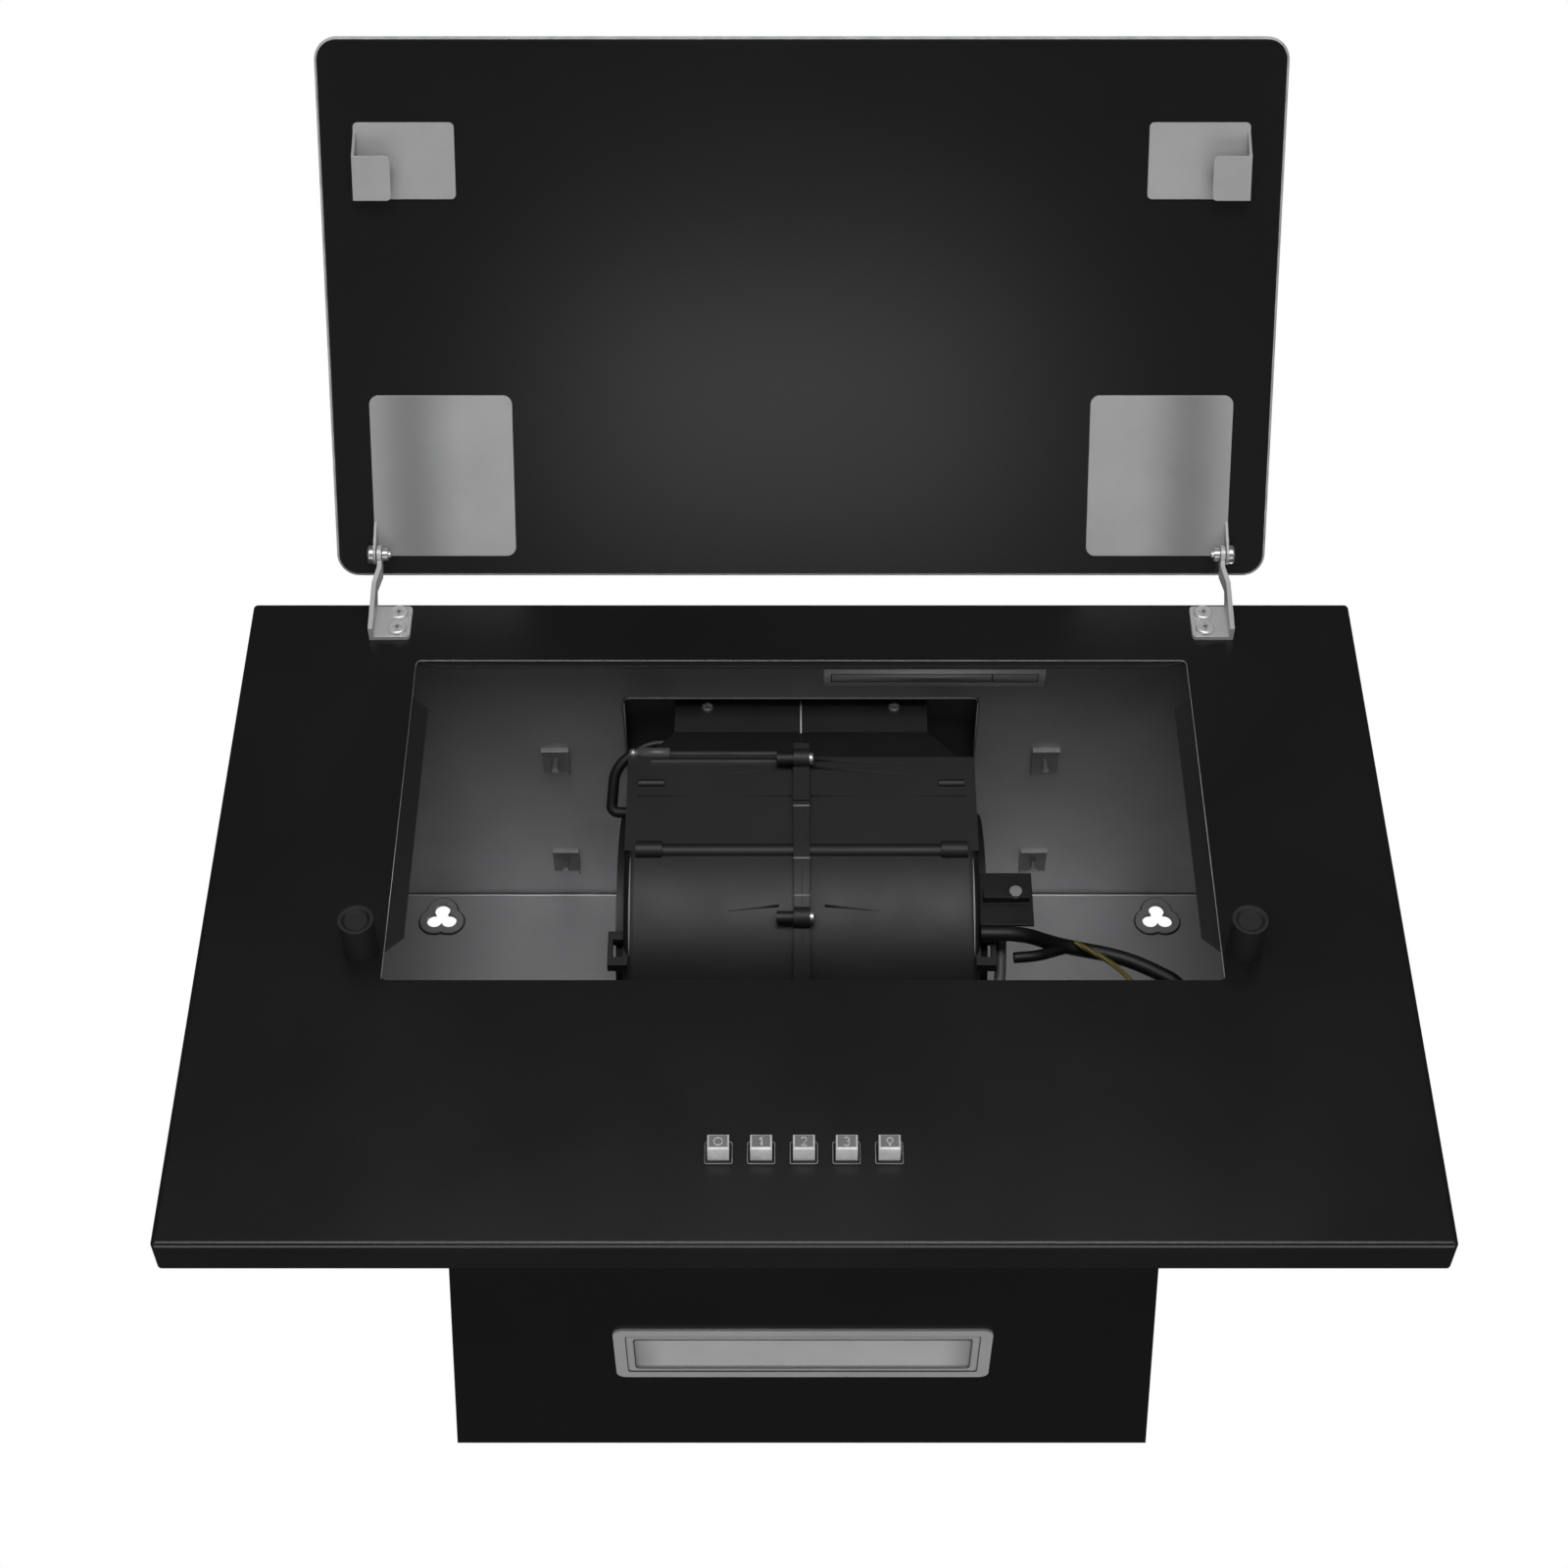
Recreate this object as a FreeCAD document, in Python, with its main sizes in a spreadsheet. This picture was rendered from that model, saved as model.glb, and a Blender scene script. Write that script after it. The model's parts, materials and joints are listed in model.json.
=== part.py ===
import FreeCAD, Part
import math
import os
import re

import Sketcher

# Range hood for a wall, 600 mm wide, with a front flap that is hinged at the top and stands open.
# Frame: millimetres, +X to the hood's left as it hangs (right for the viewer), +Z up, the room at -Y.
# The origin is on the wall plane, midway between the two hanging holes.

Vector = FreeCAD.Vector
Placement = FreeCAD.Placement
Rotation = FreeCAD.Rotation

# Driving sizes: name, value in millimetres (counts and degrees where said), what it is
SIZES = [
    # the whole body
    ("panel_width", 600, "width of the front panel"),
    ("panel_height", 400, "upright height of the front panel"),
    ("depth_low", 242, "wall to the panel's lower front edge"),
    ("depth_high", 226, "wall to the panel's upper front edge"),
    ("edge_drop", 344, "hanging line down to the panel's lower edge"),
    ("panel_sheet", 1.2, "thickness of the front panel"),
    ("panel_return", 21, "depth of the folds round the panel"),
    ("panel_fold", 2.5, "outer radius of the panel's folds"),
    ("zinc_sheet", 1, "thickness of the chamber's sheet"),
    ("overrun", 4, "how far a cutting solid runs past its work"),
    ("fit_gap", 0.3, "gap between neighbouring pieces that move or are slid in"),
    # opening in the panel
    ("opening_side", 92.5, "panel's side edge to the intake opening"),
    ("opening_height", 210, "height of the intake opening along the panel"),
    ("opening_below", 42, "panel's upper edge down to the opening"),
    ("opening_corner", 3, "corner radius of the opening"),
    # suction chamber
    ("chamber_side", 37, "panel's side edge to the chamber's end plate"),
    ("ceiling_rise", 18.5, "hanging line up to the chamber's ceiling"),
    ("floor_drop", 206, "hanging line down to the chamber's floor"),
    ("bend_radius", 2, "inner bend radius of the chamber's sheet"),
    ("end_flange", 12, "flange of an end plate along the panel"),
    ("hook_side", 85.5, "panel's side edge to a hanging hole"),
    ("hook_lobe", 4.6, "radius of one lobe of a hanging hole"),
    ("hook_lobe_out", 5, "lobe centre from the hole's centre"),
    ("hook_middle", 2, "radius of the round middle of a hanging hole"),
    ("hook_rim", 4.2, "width of the raised rim round a hanging hole"),
    ("hook_rim_rise", 1.6, "height of that rim"),
    ("low_hole_spacing", 300, "distance between the two lower wall holes"),
    ("low_hole_drop", 178, "hanging line down to the lower wall holes"),
    ("low_hole_radius", 4, "radius of a lower wall hole"),
    # filter rails behind the opening's edges
    ("rail_sheet", 1, "thickness of a filter rail"),
    ("rail_show", 9, "how far a side rail shows inside the opening"),
    ("rail_seat", 8, "how far a rail lies behind the panel"),
    ("rail_web", 14, "depth of a side rail's web"),
    ("rail_inset_top", 24, "opening's upper edge down to a side rail"),
    ("rail_inset_low", 18, "opening's lower edge up to a side rail"),
    ("rail_chamfer", 9, "chamfer at a side rail's ends"),
    ("strip_show", 3.5, "how far the upper rail shows"),
    ("strip_seat", 4, "how far the upper rail lies behind the panel"),
    ("strip_chamfer", 12, "length of the upper rail's chamfered ends"),
    # lower box with the lamp
    ("box_lift", 10, "panel's lower edge up to the lower box"),
    ("box_width_wall", 364, "width of the lower box at the wall"),
    ("box_width_front", 329, "width of the lower box at the panel"),
    ("box_sheet", 1.2, "thickness of the lower box"),
    ("lamp_length", 187, "length of the lamp's frame"),
    ("lamp_width", 52, "width of the lamp's frame"),
    ("lamp_depth", 110, "wall to the lamp's middle"),
    ("lamp_corner", 5, "corner radius of the lamp's frame"),
    ("lamp_flange", 1.5, "thickness of the frame's outer flange"),
    ("lamp_rim", 6, "width of the frame's flange"),
    ("lamp_step", 4, "width of the frame's inner step"),
    ("lamp_wall", 1.5, "wall of the frame's sleeve"),
    ("lamp_sleeve", 14, "depth of the frame's sleeve"),
    ("lens_sheet", 2.5, "thickness of the lens"),
    ("board_sheet", 1.6, "thickness of the lamp's circuit board"),
    ("board_gap", 6, "lens to circuit board"),
    ("chip_count", 8, "count of light chips"),
    ("chip_side", 2.8, "side of one light chip"),
    ("chip_rise", 0.8, "height of one light chip"),
    # push buttons
    ("key_pitch", 20, "distance between push buttons"),
    ("key_rise", 49, "panel's lower edge up to the buttons' middle"),
    ("key_width", 10.2, "width of a button"),
    ("key_height", 8, "height of a button"),
    ("key_proud", 11, "how far a button stands out of the panel"),
    ("key_travel", 3, "travel of a button"),
    ("key_chamfer", 0.8, "chamfer of a button's front corners"),
    ("key_back", 4.5, "panel's face to the back of a button's cap"),
    ("key_stem", 4, "side of a button's stem"),
    ("key_stem_length", 14, "length of a button's stem"),
    ("bezel_width", 13, "width of a button's bezel"),
    ("bezel_height", 12, "height of a button's bezel"),
    ("bezel_face", 0.8, "thickness of a bezel in front of the panel"),
    ("bezel_wall", 0.6, "wall of a bezel's sleeve"),
    ("switch_seat", 8, "panel's face to the switch block"),
    ("switch_height", 17, "height of the switch block"),
    ("switch_depth", 28, "depth of the switch block"),
    ("switch_margin", 9, "switch block beyond the outer buttons"),
    ("switch_foot", 5, "width of the switch block's feet"),
    # hinge of the flap
    ("pivot_out", 21.7, "panel's face to the flap's pivot"),
    ("pivot_rise", 16.2, "panel's upper edge up to the pivot"),
    ("open_angle", 124, "degrees from closed against the panel to open"),
    ("arm_sheet", 1.5, "thickness of the flap's sheet parts"),
    ("base_sheet", 2.5, "thickness of the hinge base and its arm"),
    ("arm_side", 71.5, "panel's side edge to the arm's upper part"),
    ("arm_joggle", 3, "sideways step of the arm"),
    ("arm_step", 3, "panel's upper edge up to the arm's slanting step"),
    ("arm_bend", 6, "height of the arm's slanting step"),
    ("arm_tip", 5, "radius of the arm's tip round the pivot"),
    ("arm_foot", 9, "width of the arm at its foot"),
    ("arm_knee", 14, "panel's face to the arm's front edge below the step"),
    ("base_width", 22, "width of the hinge's base plate"),
    ("base_height", 22.5, "height of the hinge's base plate"),
    ("base_below", 4.5, "panel's upper edge down to the base plate"),
    ("base_screw_high", 10.5, "panel's upper edge down to the upper screw"),
    ("base_screw_low", 21.5, "panel's upper edge down to the lower screw"),
    ("base_screw_in", 15, "arm's outer face to the base screws"),
    ("small_head", 5.1, "radius of a small pan head"),
    ("small_head_rise", 2.6, "height of a small pan head"),
    ("small_shank", 1.5, "radius of a small screw's shank"),
    ("small_reach", 7, "length of a small screw below its head"),
    ("head_round", 1.3, "rounding of a screw head's rim"),
    ("cross_share", 0.6, "cross recess as a share of the head's width"),
    ("slot_width", 0.7, "width of a cross recess"),
    ("slot_depth", 1, "depth of a cross recess"),
    ("pivot_shank", 2, "radius of the pivot screw"),
    ("pivot_head", 5, "radius of the pivot screw's head"),
    ("pivot_head_rise", 3.3, "height of the pivot screw's head"),
    ("pivot_bore_gap", 0.05, "running clearance of the pivot"),
    ("pivot_nut", 3.6, "radius of the pivot's round nut"),
    ("pivot_nut_length", 3, "length of the pivot's nut"),
    # flap
    ("glass_side", 45.5, "panel's side edge to the glass flap's side"),
    ("glass_reach", 273, "pivot to the flap's free edge"),
    ("glass_tail", 13.5, "pivot to the flap's hinged edge"),
    ("glass_sheet", 5, "thickness of the glass"),
    ("glass_corner", 12, "corner radius of the glass"),
    ("glass_edge", 1.4, "ground chamfer of the glass"),
    ("glass_off", 7, "pivot to the glass's inner face"),
    ("bracket_reach", 86, "pivot to the far end of a hinge bracket"),
    ("bracket_width", 77, "width of a hinge bracket"),
    ("bracket_tail", 2, "bracket's near end beyond the pivot"),
    ("bracket_corner", 5, "corner radius of the flap's sheet parts"),
    ("ear_gap", 0.5, "arm to the ear beside it"),
    ("ear_reach", 19, "pivot to the end of a bracket's ear"),
    ("ear_round", 5.5, "radius of the ear round the pivot"),
    ("clip_near", 190, "pivot to the near end of a hook plate"),
    ("clip_far", 229.5, "pivot to the far end of a hook plate"),
    ("clip_width", 53, "width of a hook plate"),
    ("clip_side", 64.5, "panel's side edge to a hook plate's outer side"),
    ("clip_rise", 11, "height of a hook over the glass"),
    ("clip_lip", 20, "length of a hook's lip"),
    ("clip_lip_width", 23, "width of a hook's lip"),
    # catch knobs on the panel
    ("knob_side", 81, "panel's side edge to a catch knob"),
    ("knob_below", 232, "panel's upper edge down to a catch knob"),
    ("knob_radius", 8.8, "radius of a catch knob"),
    ("knob_length", 23, "length of a catch knob"),
    ("knob_dish", 1.6, "depth of the dish in a knob's end"),
    ("knob_rim", 1.6, "width of the rim round the dish"),
    ("knob_stud", 2.5, "radius of a knob's stud"),
    ("knob_stud_length", 8, "length of a knob's stud"),
    # blower
    ("barrel_width", 187, "width of the blower's casing"),
    ("barrel_share", 0.3805, "casing's radius as a share of the depth at the panel's upper edge"),
    ("axis_share", 0.469, "wall to the blower's axis as a share of the same depth"),
    ("barrel_drop", 86, "hanging line down to the blower's axis"),
    ("barrel_wall", 2.4, "wall of the blower's casing"),
    ("barrel_edge", 6, "rounding of the casing's outer ends"),
    ("inlet_lip", 24, "casing's rim in to the inlet in its end"),
    ("neck_side", 24, "casing's end to the neck's side"),
    ("neck_inset", 9, "aperture's front edge back to the neck"),
    ("neck_step", 11, "casing's front back to the neck's front"),
    ("neck_behind", 15, "blower's axis back to the back of the neck"),
    ("neck_foot", 1.7, "hanging line up to the neck's foot"),
    ("neck_top", 29, "hanging line up to the neck's top"),
    ("flare_inset", 9.5, "barrel's end to the flare's foot"),
    ("flare_drop", 24, "hanging line down to the foot of the flare"),
    ("seam_width", 4.2, "width of the seam flange on one half"),
    ("seam_rise", 4.5, "height of the seam flange"),
    ("seam_top_drop", 18, "hanging line down to the top of the front seam flange"),
    ("block_drop", 46, "hanging line down to the block on the seam"),
    ("block_height", 11, "height of the block on the seam"),
    ("block_rise", 1.6, "how far the block stands out of the seam"),
    ("seam_ear", 5.5, "radius of the seam's ears round its screws"),
    ("seam_out", 5, "how far a seam screw's axis lies outside the casing"),
    ("seam_drop", 29, "hanging line down to the upper seam screw"),
    ("seam_angle", 26, "degrees from the front down to the lower seam screw"),
    ("seam_head", 3.3, "radius of a seam screw's head"),
    ("rib_radius", 4, "radius of the casing's long rib"),
    ("rib_out", 1, "how far the rib's axis lies inside the casing"),
    ("boss_radius", 3.4, "radius of a screw boss"),
    ("boss_length", 14, "length of the rib's end boss"),
    ("seam_boss", 9, "length of a seam screw's boss"),
    ("pin_radius", 2.4, "radius of the short pins on the casing"),
    ("pin_drop", 42, "hanging line down to the short pins"),
    ("tube_radius", 2.4, "radius of a wire tube on the left half"),
    ("tube_drop", 21.4, "hanging line down to the upper wire tube"),
    ("tube_pitch", 5.4, "distance between the two wire tubes"),
    ("tube_length", 68, "length of a wire tube"),
    ("lug_side", 21, "height of a snap lug"),
    ("lug_out", 8, "how far a snap lug stands out"),
    ("lug_deep", 6, "thickness of a snap lug"),
    ("lug_front_share", 0.767, "axis forward to a snap lug, as a share of the casing's radius"),
    ("lug_low_share", 0.686, "axis down to a snap lug's foot, as a share of the casing's radius"),
    ("lug_hole", 5.5, "width of the hole in a snap lug"),
    ("lug_hole_high", 11, "height of the hole in a snap lug"),
    ("grille_rise", 4.5, "depth of an inlet grille"),
    ("grille_lip", 16, "casing's rim in to the inlet grille"),
    ("grille_bar", 2.2, "width of a grille bar"),
    ("grille_ring_gap", 12, "distance between grille rings"),
    ("grille_rings", 4, "count of grille rings inside the outer one"),
    ("grille_bars", 8, "count of grille bars across the inlet"),
    ("wheel_play", 16, "casing's outer side in to the fan wheel"),
    ("wheel_side", 18.5, "casing's end to the fan wheel"),
    ("wheel_web", 2.5, "thickness of the wheel's middle disc"),
    ("wheel_ring", 3, "thickness of the wheel's end rings"),
    ("blade_depth", 12, "radial depth of a blade"),
    ("blade_sheet", 1.4, "thickness of a blade"),
    ("blade_count", 28, "count of blades"),
    ("blade_angle", 35, "degrees that a blade leans from the radius"),
    ("hub_radius", 11, "radius of the wheel's hub"),
    ("hub_length", 12, "length of the wheel's hub on one side"),
    ("shaft_radius", 4, "radius of the motor's shaft"),
    ("shaft_gap", 0.05, "running clearance of the shaft"),
    ("motor_play", 28, "fan wheel's outer side in to the motor"),
    ("motor_start", 22, "wheel's middle to the motor"),
    ("motor_boss", 14, "radius of the motor's bearing boss"),
    ("motor_boss_length", 6, "length of the motor's bearing boss"),
    ("motor_cover", 8, "thickness of the motor's far cover"),
    ("spider_sheet", 3, "thickness of the motor bracket"),
    ("spider_arm", 14, "width of a motor bracket's arm"),
    ("spider_arms", 3, "count of the motor bracket's arms"),
    ("spider_inset", 10, "casing's rim in to the end of a bracket's arm"),
    # outlet above the ceiling
    ("hatch_side", 4.5, "casing's end to the side of the ceiling's aperture"),
    ("hatch_back", 28, "wall to the back of the aperture"),
    ("outlet_lap", 11, "how far the outlet's plate laps the ceiling"),
    ("outlet_tray", 12, "inner height of the outlet's tray above the ceiling"),
    ("outlet_sheet", 2.5, "thickness of the outlet's plate"),
    ("outlet_radius", 75, "outer radius of the outlet collar"),
    ("outlet_wall", 2, "wall of the outlet collar"),
    ("outlet_length", 46, "length of the outlet collar"),
    ("outlet_shift", 4, "aperture's middle forward to the collar's axis"),
    ("skirt_drop", 16, "how far the outlet's skirt hangs into the neck"),
    ("skirt_gap", 0.4, "gap between skirt and neck"),
    ("skirt_wall", 2, "wall of the skirt"),
    ("neck_screw_side", 18, "neck's side to a neck screw"),
    ("neck_screw_rise", 18, "hanging line up to the neck screws"),
    ("damper_rise", 14, "outlet's plate up to the damper flaps"),
    ("damper_sheet", 1.5, "thickness of a damper flap"),
    ("damper_gap", 1, "gap between a damper flap and the collar"),
    ("damper_pin", 1.5, "radius of a damper pin"),
    ("damper_sleeve", 2.8, "radius of a damper flap's sleeve"),
    ("damper_apart", 3.6, "collar's axis to a damper pin"),
    ("damper_stop", 2, "width of the ledge that stops the flaps"),
    # fasteners of the chimney brackets
    ("tab_place", 138.5, "middle of the hood to a chimney nut"),
    ("tab_front", 134, "wall to the front chimney nuts"),
    ("tab_back", 36.5, "wall to the rear chimney nuts"),
    ("tab_width", 15.5, "width of a chimney nut"),
    ("tab_length", 22, "length of a chimney nut"),
    ("tab_sheet", 0.8, "thickness of a chimney nut"),
    ("tab_edge", 3, "height of a chimney nut's folded edges"),
    ("tab_screw", 2, "radius of a chimney screw"),
    ("tab_screw_length", 8, "length of a chimney screw below the ceiling"),
    ("tab_head", 4.5, "radius of a chimney screw's head"),
    ("tab_head_rise", 2.8, "height of a chimney screw's head"),
    # wiring
    ("cable_radius", 4, "radius of the black cable"),
    ("lead_radius", 3, "radius of the motor lead and the left cable"),
    ("earth_radius", 1.4, "radius of the earth wire"),
    ("grommet_rim", 2.5, "flange of a cable grommet beyond its neck"),
    ("grommet_wall", 1.5, "wall of a cable grommet"),
    ("grommet_flange", 2, "thickness of a grommet's flange"),
    ("grommet_place", 160, "middle of the hood to the main cable's grommet"),
    ("grommet_depth", 150, "wall to the main cable's grommet"),
    ("lead_side", 6, "casing's end to the motor lead's grommet"),
    ("lead_depth", 150, "wall to the motor lead's grommet"),
    ("gland_side", 17, "chamber's end plate to the mains gland"),
    ("gland_depth", 60, "wall to the mains gland"),
    ("gland_radius", 11, "radius of the mains gland"),
    ("gland_neck", 8, "radius of the gland's threaded neck"),
    ("gland_height", 16, "height of the mains gland"),
    ("gland_bore", 4.2, "radius of the gland's bore"),
    ("gland_nut", 5, "thickness of the gland's nut"),
    ("tag_side", 9, "width of the earth tag"),
    ("tag_depth", 166, "wall to the front of the earth tag"),
    # electrical boxes in the lower box
    ("driver_length", 110, "length of the lamp's power supply"),
    ("driver_width", 42, "width of the lamp's power supply"),
    ("driver_height", 26, "height of the lamp's power supply"),
    ("driver_depth", 18, "wall to the lamp's power supply"),
    ("capacitor_radius", 15, "radius of the motor capacitor"),
    ("capacitor_length", 58, "length of the motor capacitor"),
    ("capacitor_place", 92, "middle of the hood to the capacitor"),
    ("capacitor_depth", 40, "wall to the capacitor's axis"),
    ("terminal_length", 62, "length of the terminal block"),
    ("terminal_width", 30, "width of the terminal block"),
    ("terminal_height", 20, "height of the terminal block"),
    ("terminal_place", 75, "middle of the hood to the terminal block"),
    ("terminal_depth", 25, "wall to the terminal block"),
    ("terminal_step", 4, "depth of the terminal block's lower sides"),
    # cable clamp beside the blower
    ("clamp_width", 28, "width of the cable clamp's bracket"),
    ("clamp_height", 33, "height of the cable clamp's bracket"),
    ("clamp_sheet", 1.5, "thickness of the cable clamp's bracket"),
    ("clamp_share", 0.837, "blower's axis forward to the clamp, as a share of the casing's radius"),
    ("clamp_drop", 125, "hanging line down to the bracket's foot"),
    ("clamp_bar", 5, "height of the clamp's bar"),
    ("clamp_bar_in", 2, "clamp's bar from the bracket's side edges"),
]
# Sizes that follow from the driving sizes: name, rule, what it is
FOLLOWING = [
    ("opening_width", "panel_width - 2 * opening_side", "width of the intake opening"),
    ("chamber_width", "panel_width - 2 * chamber_side", "width over the chamber's end plates"),
    ("hook_spacing", "panel_width - 2 * hook_side", "distance between the two hanging holes"),
    ("gland_place", "panel_width / 2 - chamber_side - gland_side", "middle of the hood to the mains gland"),
    ("knob_place", "panel_width / 2 - knob_side", "middle of the hood to a catch knob"),
    ("arm_place", "panel_width / 2 - arm_side", "middle of the hood to the arm's upper part"),
    ("glass_width", "panel_width - 2 * glass_side", "width of the glass flap"),
    ("clip_outer", "panel_width / 2 - clip_side", "middle of the hood to a hook plate's outer side"),
    ("clip_inner", "panel_width / 2 - clip_side - clip_width", "middle of the hood to a hook plate's inner end"),
    ("barrel_radius", "depth_high * barrel_share", "radius of the blower's casing"),
    ("barrel_depth", "depth_high * axis_share", "wall to the blower's axis"),
    ("inlet_radius", "depth_high * barrel_share - inlet_lip", "radius of an inlet in the casing's end"),
    ("grille_radius", "depth_high * barrel_share - grille_lip", "outer radius of an inlet grille"),
    ("wheel_radius", "depth_high * barrel_share - wheel_play", "radius of the fan wheel"),
    ("motor_radius", "depth_high * barrel_share - wheel_play - motor_play", "radius of the motor"),
    ("spider_reach", "depth_high * barrel_share - spider_inset", "length of a motor bracket's arm"),
    ("clamp_depth", "depth_high * (axis_share + barrel_share * clamp_share)", "wall to the clamp bracket's back"),
    ("lug_depth", "depth_high * (axis_share + barrel_share * lug_front_share)", "wall to the front of a snap lug"),
    ("lug_drop", "barrel_drop + depth_high * barrel_share * lug_low_share", "hanging line down to a snap lug's foot"),
    ("hatch_front", "depth_high * (axis_share + barrel_share) - neck_step + neck_inset", "wall to the aperture's front"),
    ("hatch_width", "barrel_width + 2 * hatch_side", "width of the ceiling's aperture"),
    ("neck_front", "depth_high * (axis_share + barrel_share) - neck_step", "wall to the front of the neck"),
    ("neck_back", "depth_high * axis_share - neck_behind", "wall to the back of the neck"),
    ("neck_width", "barrel_width - 2 * neck_side", "width of the blower's neck"),
    ("neck_screw_place", "barrel_width / 2 - neck_side - neck_screw_side", "middle of the hood to a neck screw"),
    ("wheel_half", "barrel_width / 2 - wheel_side", "half the width of the fan wheel"),
    ("outlet_depth", "(depth_high * (axis_share + barrel_share) - neck_step + neck_inset + hatch_back) / 2 + outlet_shift", "wall to the collar's axis"),
    ("lead_place", "barrel_width / 2 + lead_side", "middle of the hood to the motor lead's grommet"),
]
NAMES = [row[0] for row in SIZES + FOLLOWING]
WORD = re.compile(r"[a-z][a-z_0-9]*")
EPSILON = 1e-6

doc = FreeCAD.newDocument("range_hood")
sheet = doc.addObject("Spreadsheet::Sheet", "Sizes")
for row, (alias, number, words) in enumerate(SIZES, start=1):
    sheet.set(f"A{row}", words)
    sheet.set(f"B{row}", str(number))
    sheet.setAlias(f"B{row}", alias)
for row, (alias, rule, words) in enumerate(FOLLOWING, start=len(SIZES) + 1):
    sheet.set(f"A{row}", words)
    sheet.set(f"B{row}", "=" + rule)
    sheet.setAlias(f"B{row}", alias)
doc.recompute()


class Held:
    """Reads a driving size by its name."""

    def __getattr__(self, name):
        return float(getattr(sheet, name))


s = Held()
nodes = []


def sized(text):
    """An expression in which each size's name points to its cell."""
    return WORD.sub(lambda found: "Sizes." + found.group() if found.group() in NAMES else found.group(), text)


def bind(thing, **texts):
    for prop, text in texts.items():
        thing.setExpression(prop.replace("__", "."), sized(text))
    return thing


def node(thing, label, place=None):
    """Names a finished sub-part and puts it in its place."""
    thing.Label = label
    if place is not None:
        thing.Placement = place
    nodes.append(thing)
    return thing


# Primitives whose sizes and places are bound to the cells
def at(thing, x, y, z):
    return bind(thing, Placement__Base__x=x, Placement__Base__y=y, Placement__Base__z=z)


def box(name, across, deep, high, x="0", y="0", z="0"):
    thing = doc.addObject("Part::Box", name)
    bind(thing, Length=across, Width=deep, Height=high)
    return at(thing, x, y, z)


TURNS = {"x": Rotation(Vector(0, 1, 0), 90), "y": Rotation(Vector(1, 0, 0), -90), "z": Rotation()}


def rod(name, radius, length, x="0", y="0", z="0", along="z"):
    thing = doc.addObject("Part::Cylinder", name)
    thing.Placement = Placement(Vector(), TURNS[along])
    bind(thing, Radius=radius, Height=length)
    return at(thing, x, y, z)


def joined(name, *pieces):
    thing = doc.addObject("Part::MultiFuse", name)
    thing.Shapes = list(pieces)
    return thing


def without(name, base, *tools):
    thing = doc.addObject("Part::Cut", name)
    thing.Base = base
    thing.Tool = tools[0] if len(tools) == 1 else joined(name + "_tools", *tools)
    return thing


def shared(name, base, tool):
    thing = doc.addObject("Part::Common", name)
    thing.Base = base
    thing.Tool = tool
    return thing


def rounded(name, base, radius, choose):
    """Fillets the edges of base that choose accepts."""
    doc.recompute()
    thing = doc.addObject("Part::Fillet", name)
    thing.Base = base
    thing.Edges = [(index, radius, radius) for index, edge in enumerate(base.Shape.Edges, start=1) if choose(edge)]
    return thing


def runs_along(edge, axis):
    """True for a straight edge that runs along the given axis."""
    if not isinstance(edge.Curve, Part.Line):
        return False
    ends = edge.Vertexes[-1].Point - edge.Vertexes[0].Point
    return abs(abs(ends.dot(axis)) - ends.Length) < EPSILON


def is_circle(edge):
    return isinstance(edge.Curve, Part.Circle)


def start(side, inner, outer):
    """Lower end in x of a piece that spans inner to outer on one side of the hood."""
    return inner if side > 0 else f"-({outer})"


def feature(name, shape):
    """A document object for a shape worked out in code."""
    thing = doc.addObject("Part::Feature", name)
    thing.Shape = shape
    return thing


# Part design bodies drawn from sketches
PLANES = {"XY": "XY_Plane", "XZ": "XZ_Plane", "YZ": "YZ_Plane"}


def sketch_on(body, plane, name, lift="0"):
    sketch = body.newObject("Sketcher::SketchObject", name)
    roles = {feature_.Role: feature_ for feature_ in body.Origin.OriginFeatures}
    sketch.AttachmentSupport = [(roles[PLANES[plane]], "")]
    sketch.MapMode = "FlatFace"
    sketch.setExpression("AttachmentOffset.Base.z", sized(lift))
    return sketch


def place_point(sketch, line, point, end=1):
    """Ties one end of a line to the sketch's origin by two bound distances."""
    for kind, text in zip(("DistanceX", "DistanceY"), point):
        number = sketch.addConstraint(Sketcher.Constraint(kind, -1, 1, line, end, 1.0))
        sketch.setExpression(f"Constraints[{number}]", sized(text))


def draw_outline(sketch, points):
    """A closed outline of straight lines through points, each given as two expressions."""
    count = len(points)
    first = sketch.GeometryCount
    turn = [math.tau * index / count for index in range(count)]
    corners = [Vector(math.cos(angle), math.sin(angle), 0) * s.panel_width for angle in turn]
    for index in range(count):
        sketch.addGeometry(Part.LineSegment(corners[index], corners[(index + 1) % count]))
    for index in range(count):
        following = first + (index + 1) % count
        sketch.addConstraint(Sketcher.Constraint("Coincident", first + index, 2, following, 1))
        place_point(sketch, first + index, points[index])


UPWARD = Vector(0, 0, 1)


def draw_circle(sketch, centre, radius):
    line = sketch.addGeometry(Part.Circle(Vector(), UPWARD, s.hook_lobe))
    number = sketch.addConstraint(Sketcher.Constraint("Radius", line, s.hook_lobe))
    sketch.setExpression(f"Constraints[{number}]", sized(radius))
    place_point(sketch, line, centre, end=3)


def new_body(name):
    return doc.addObject("PartDesign::Body", name)


def pad(body, sketch, length, middle=False, back=False):
    thing = body.newObject("PartDesign::Pad", sketch.Name + "_pad")
    thing.Profile = sketch
    thing.Midplane = middle
    thing.Reversed = back
    bind(thing, Length=length)
    doc.recompute()
    return thing


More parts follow.
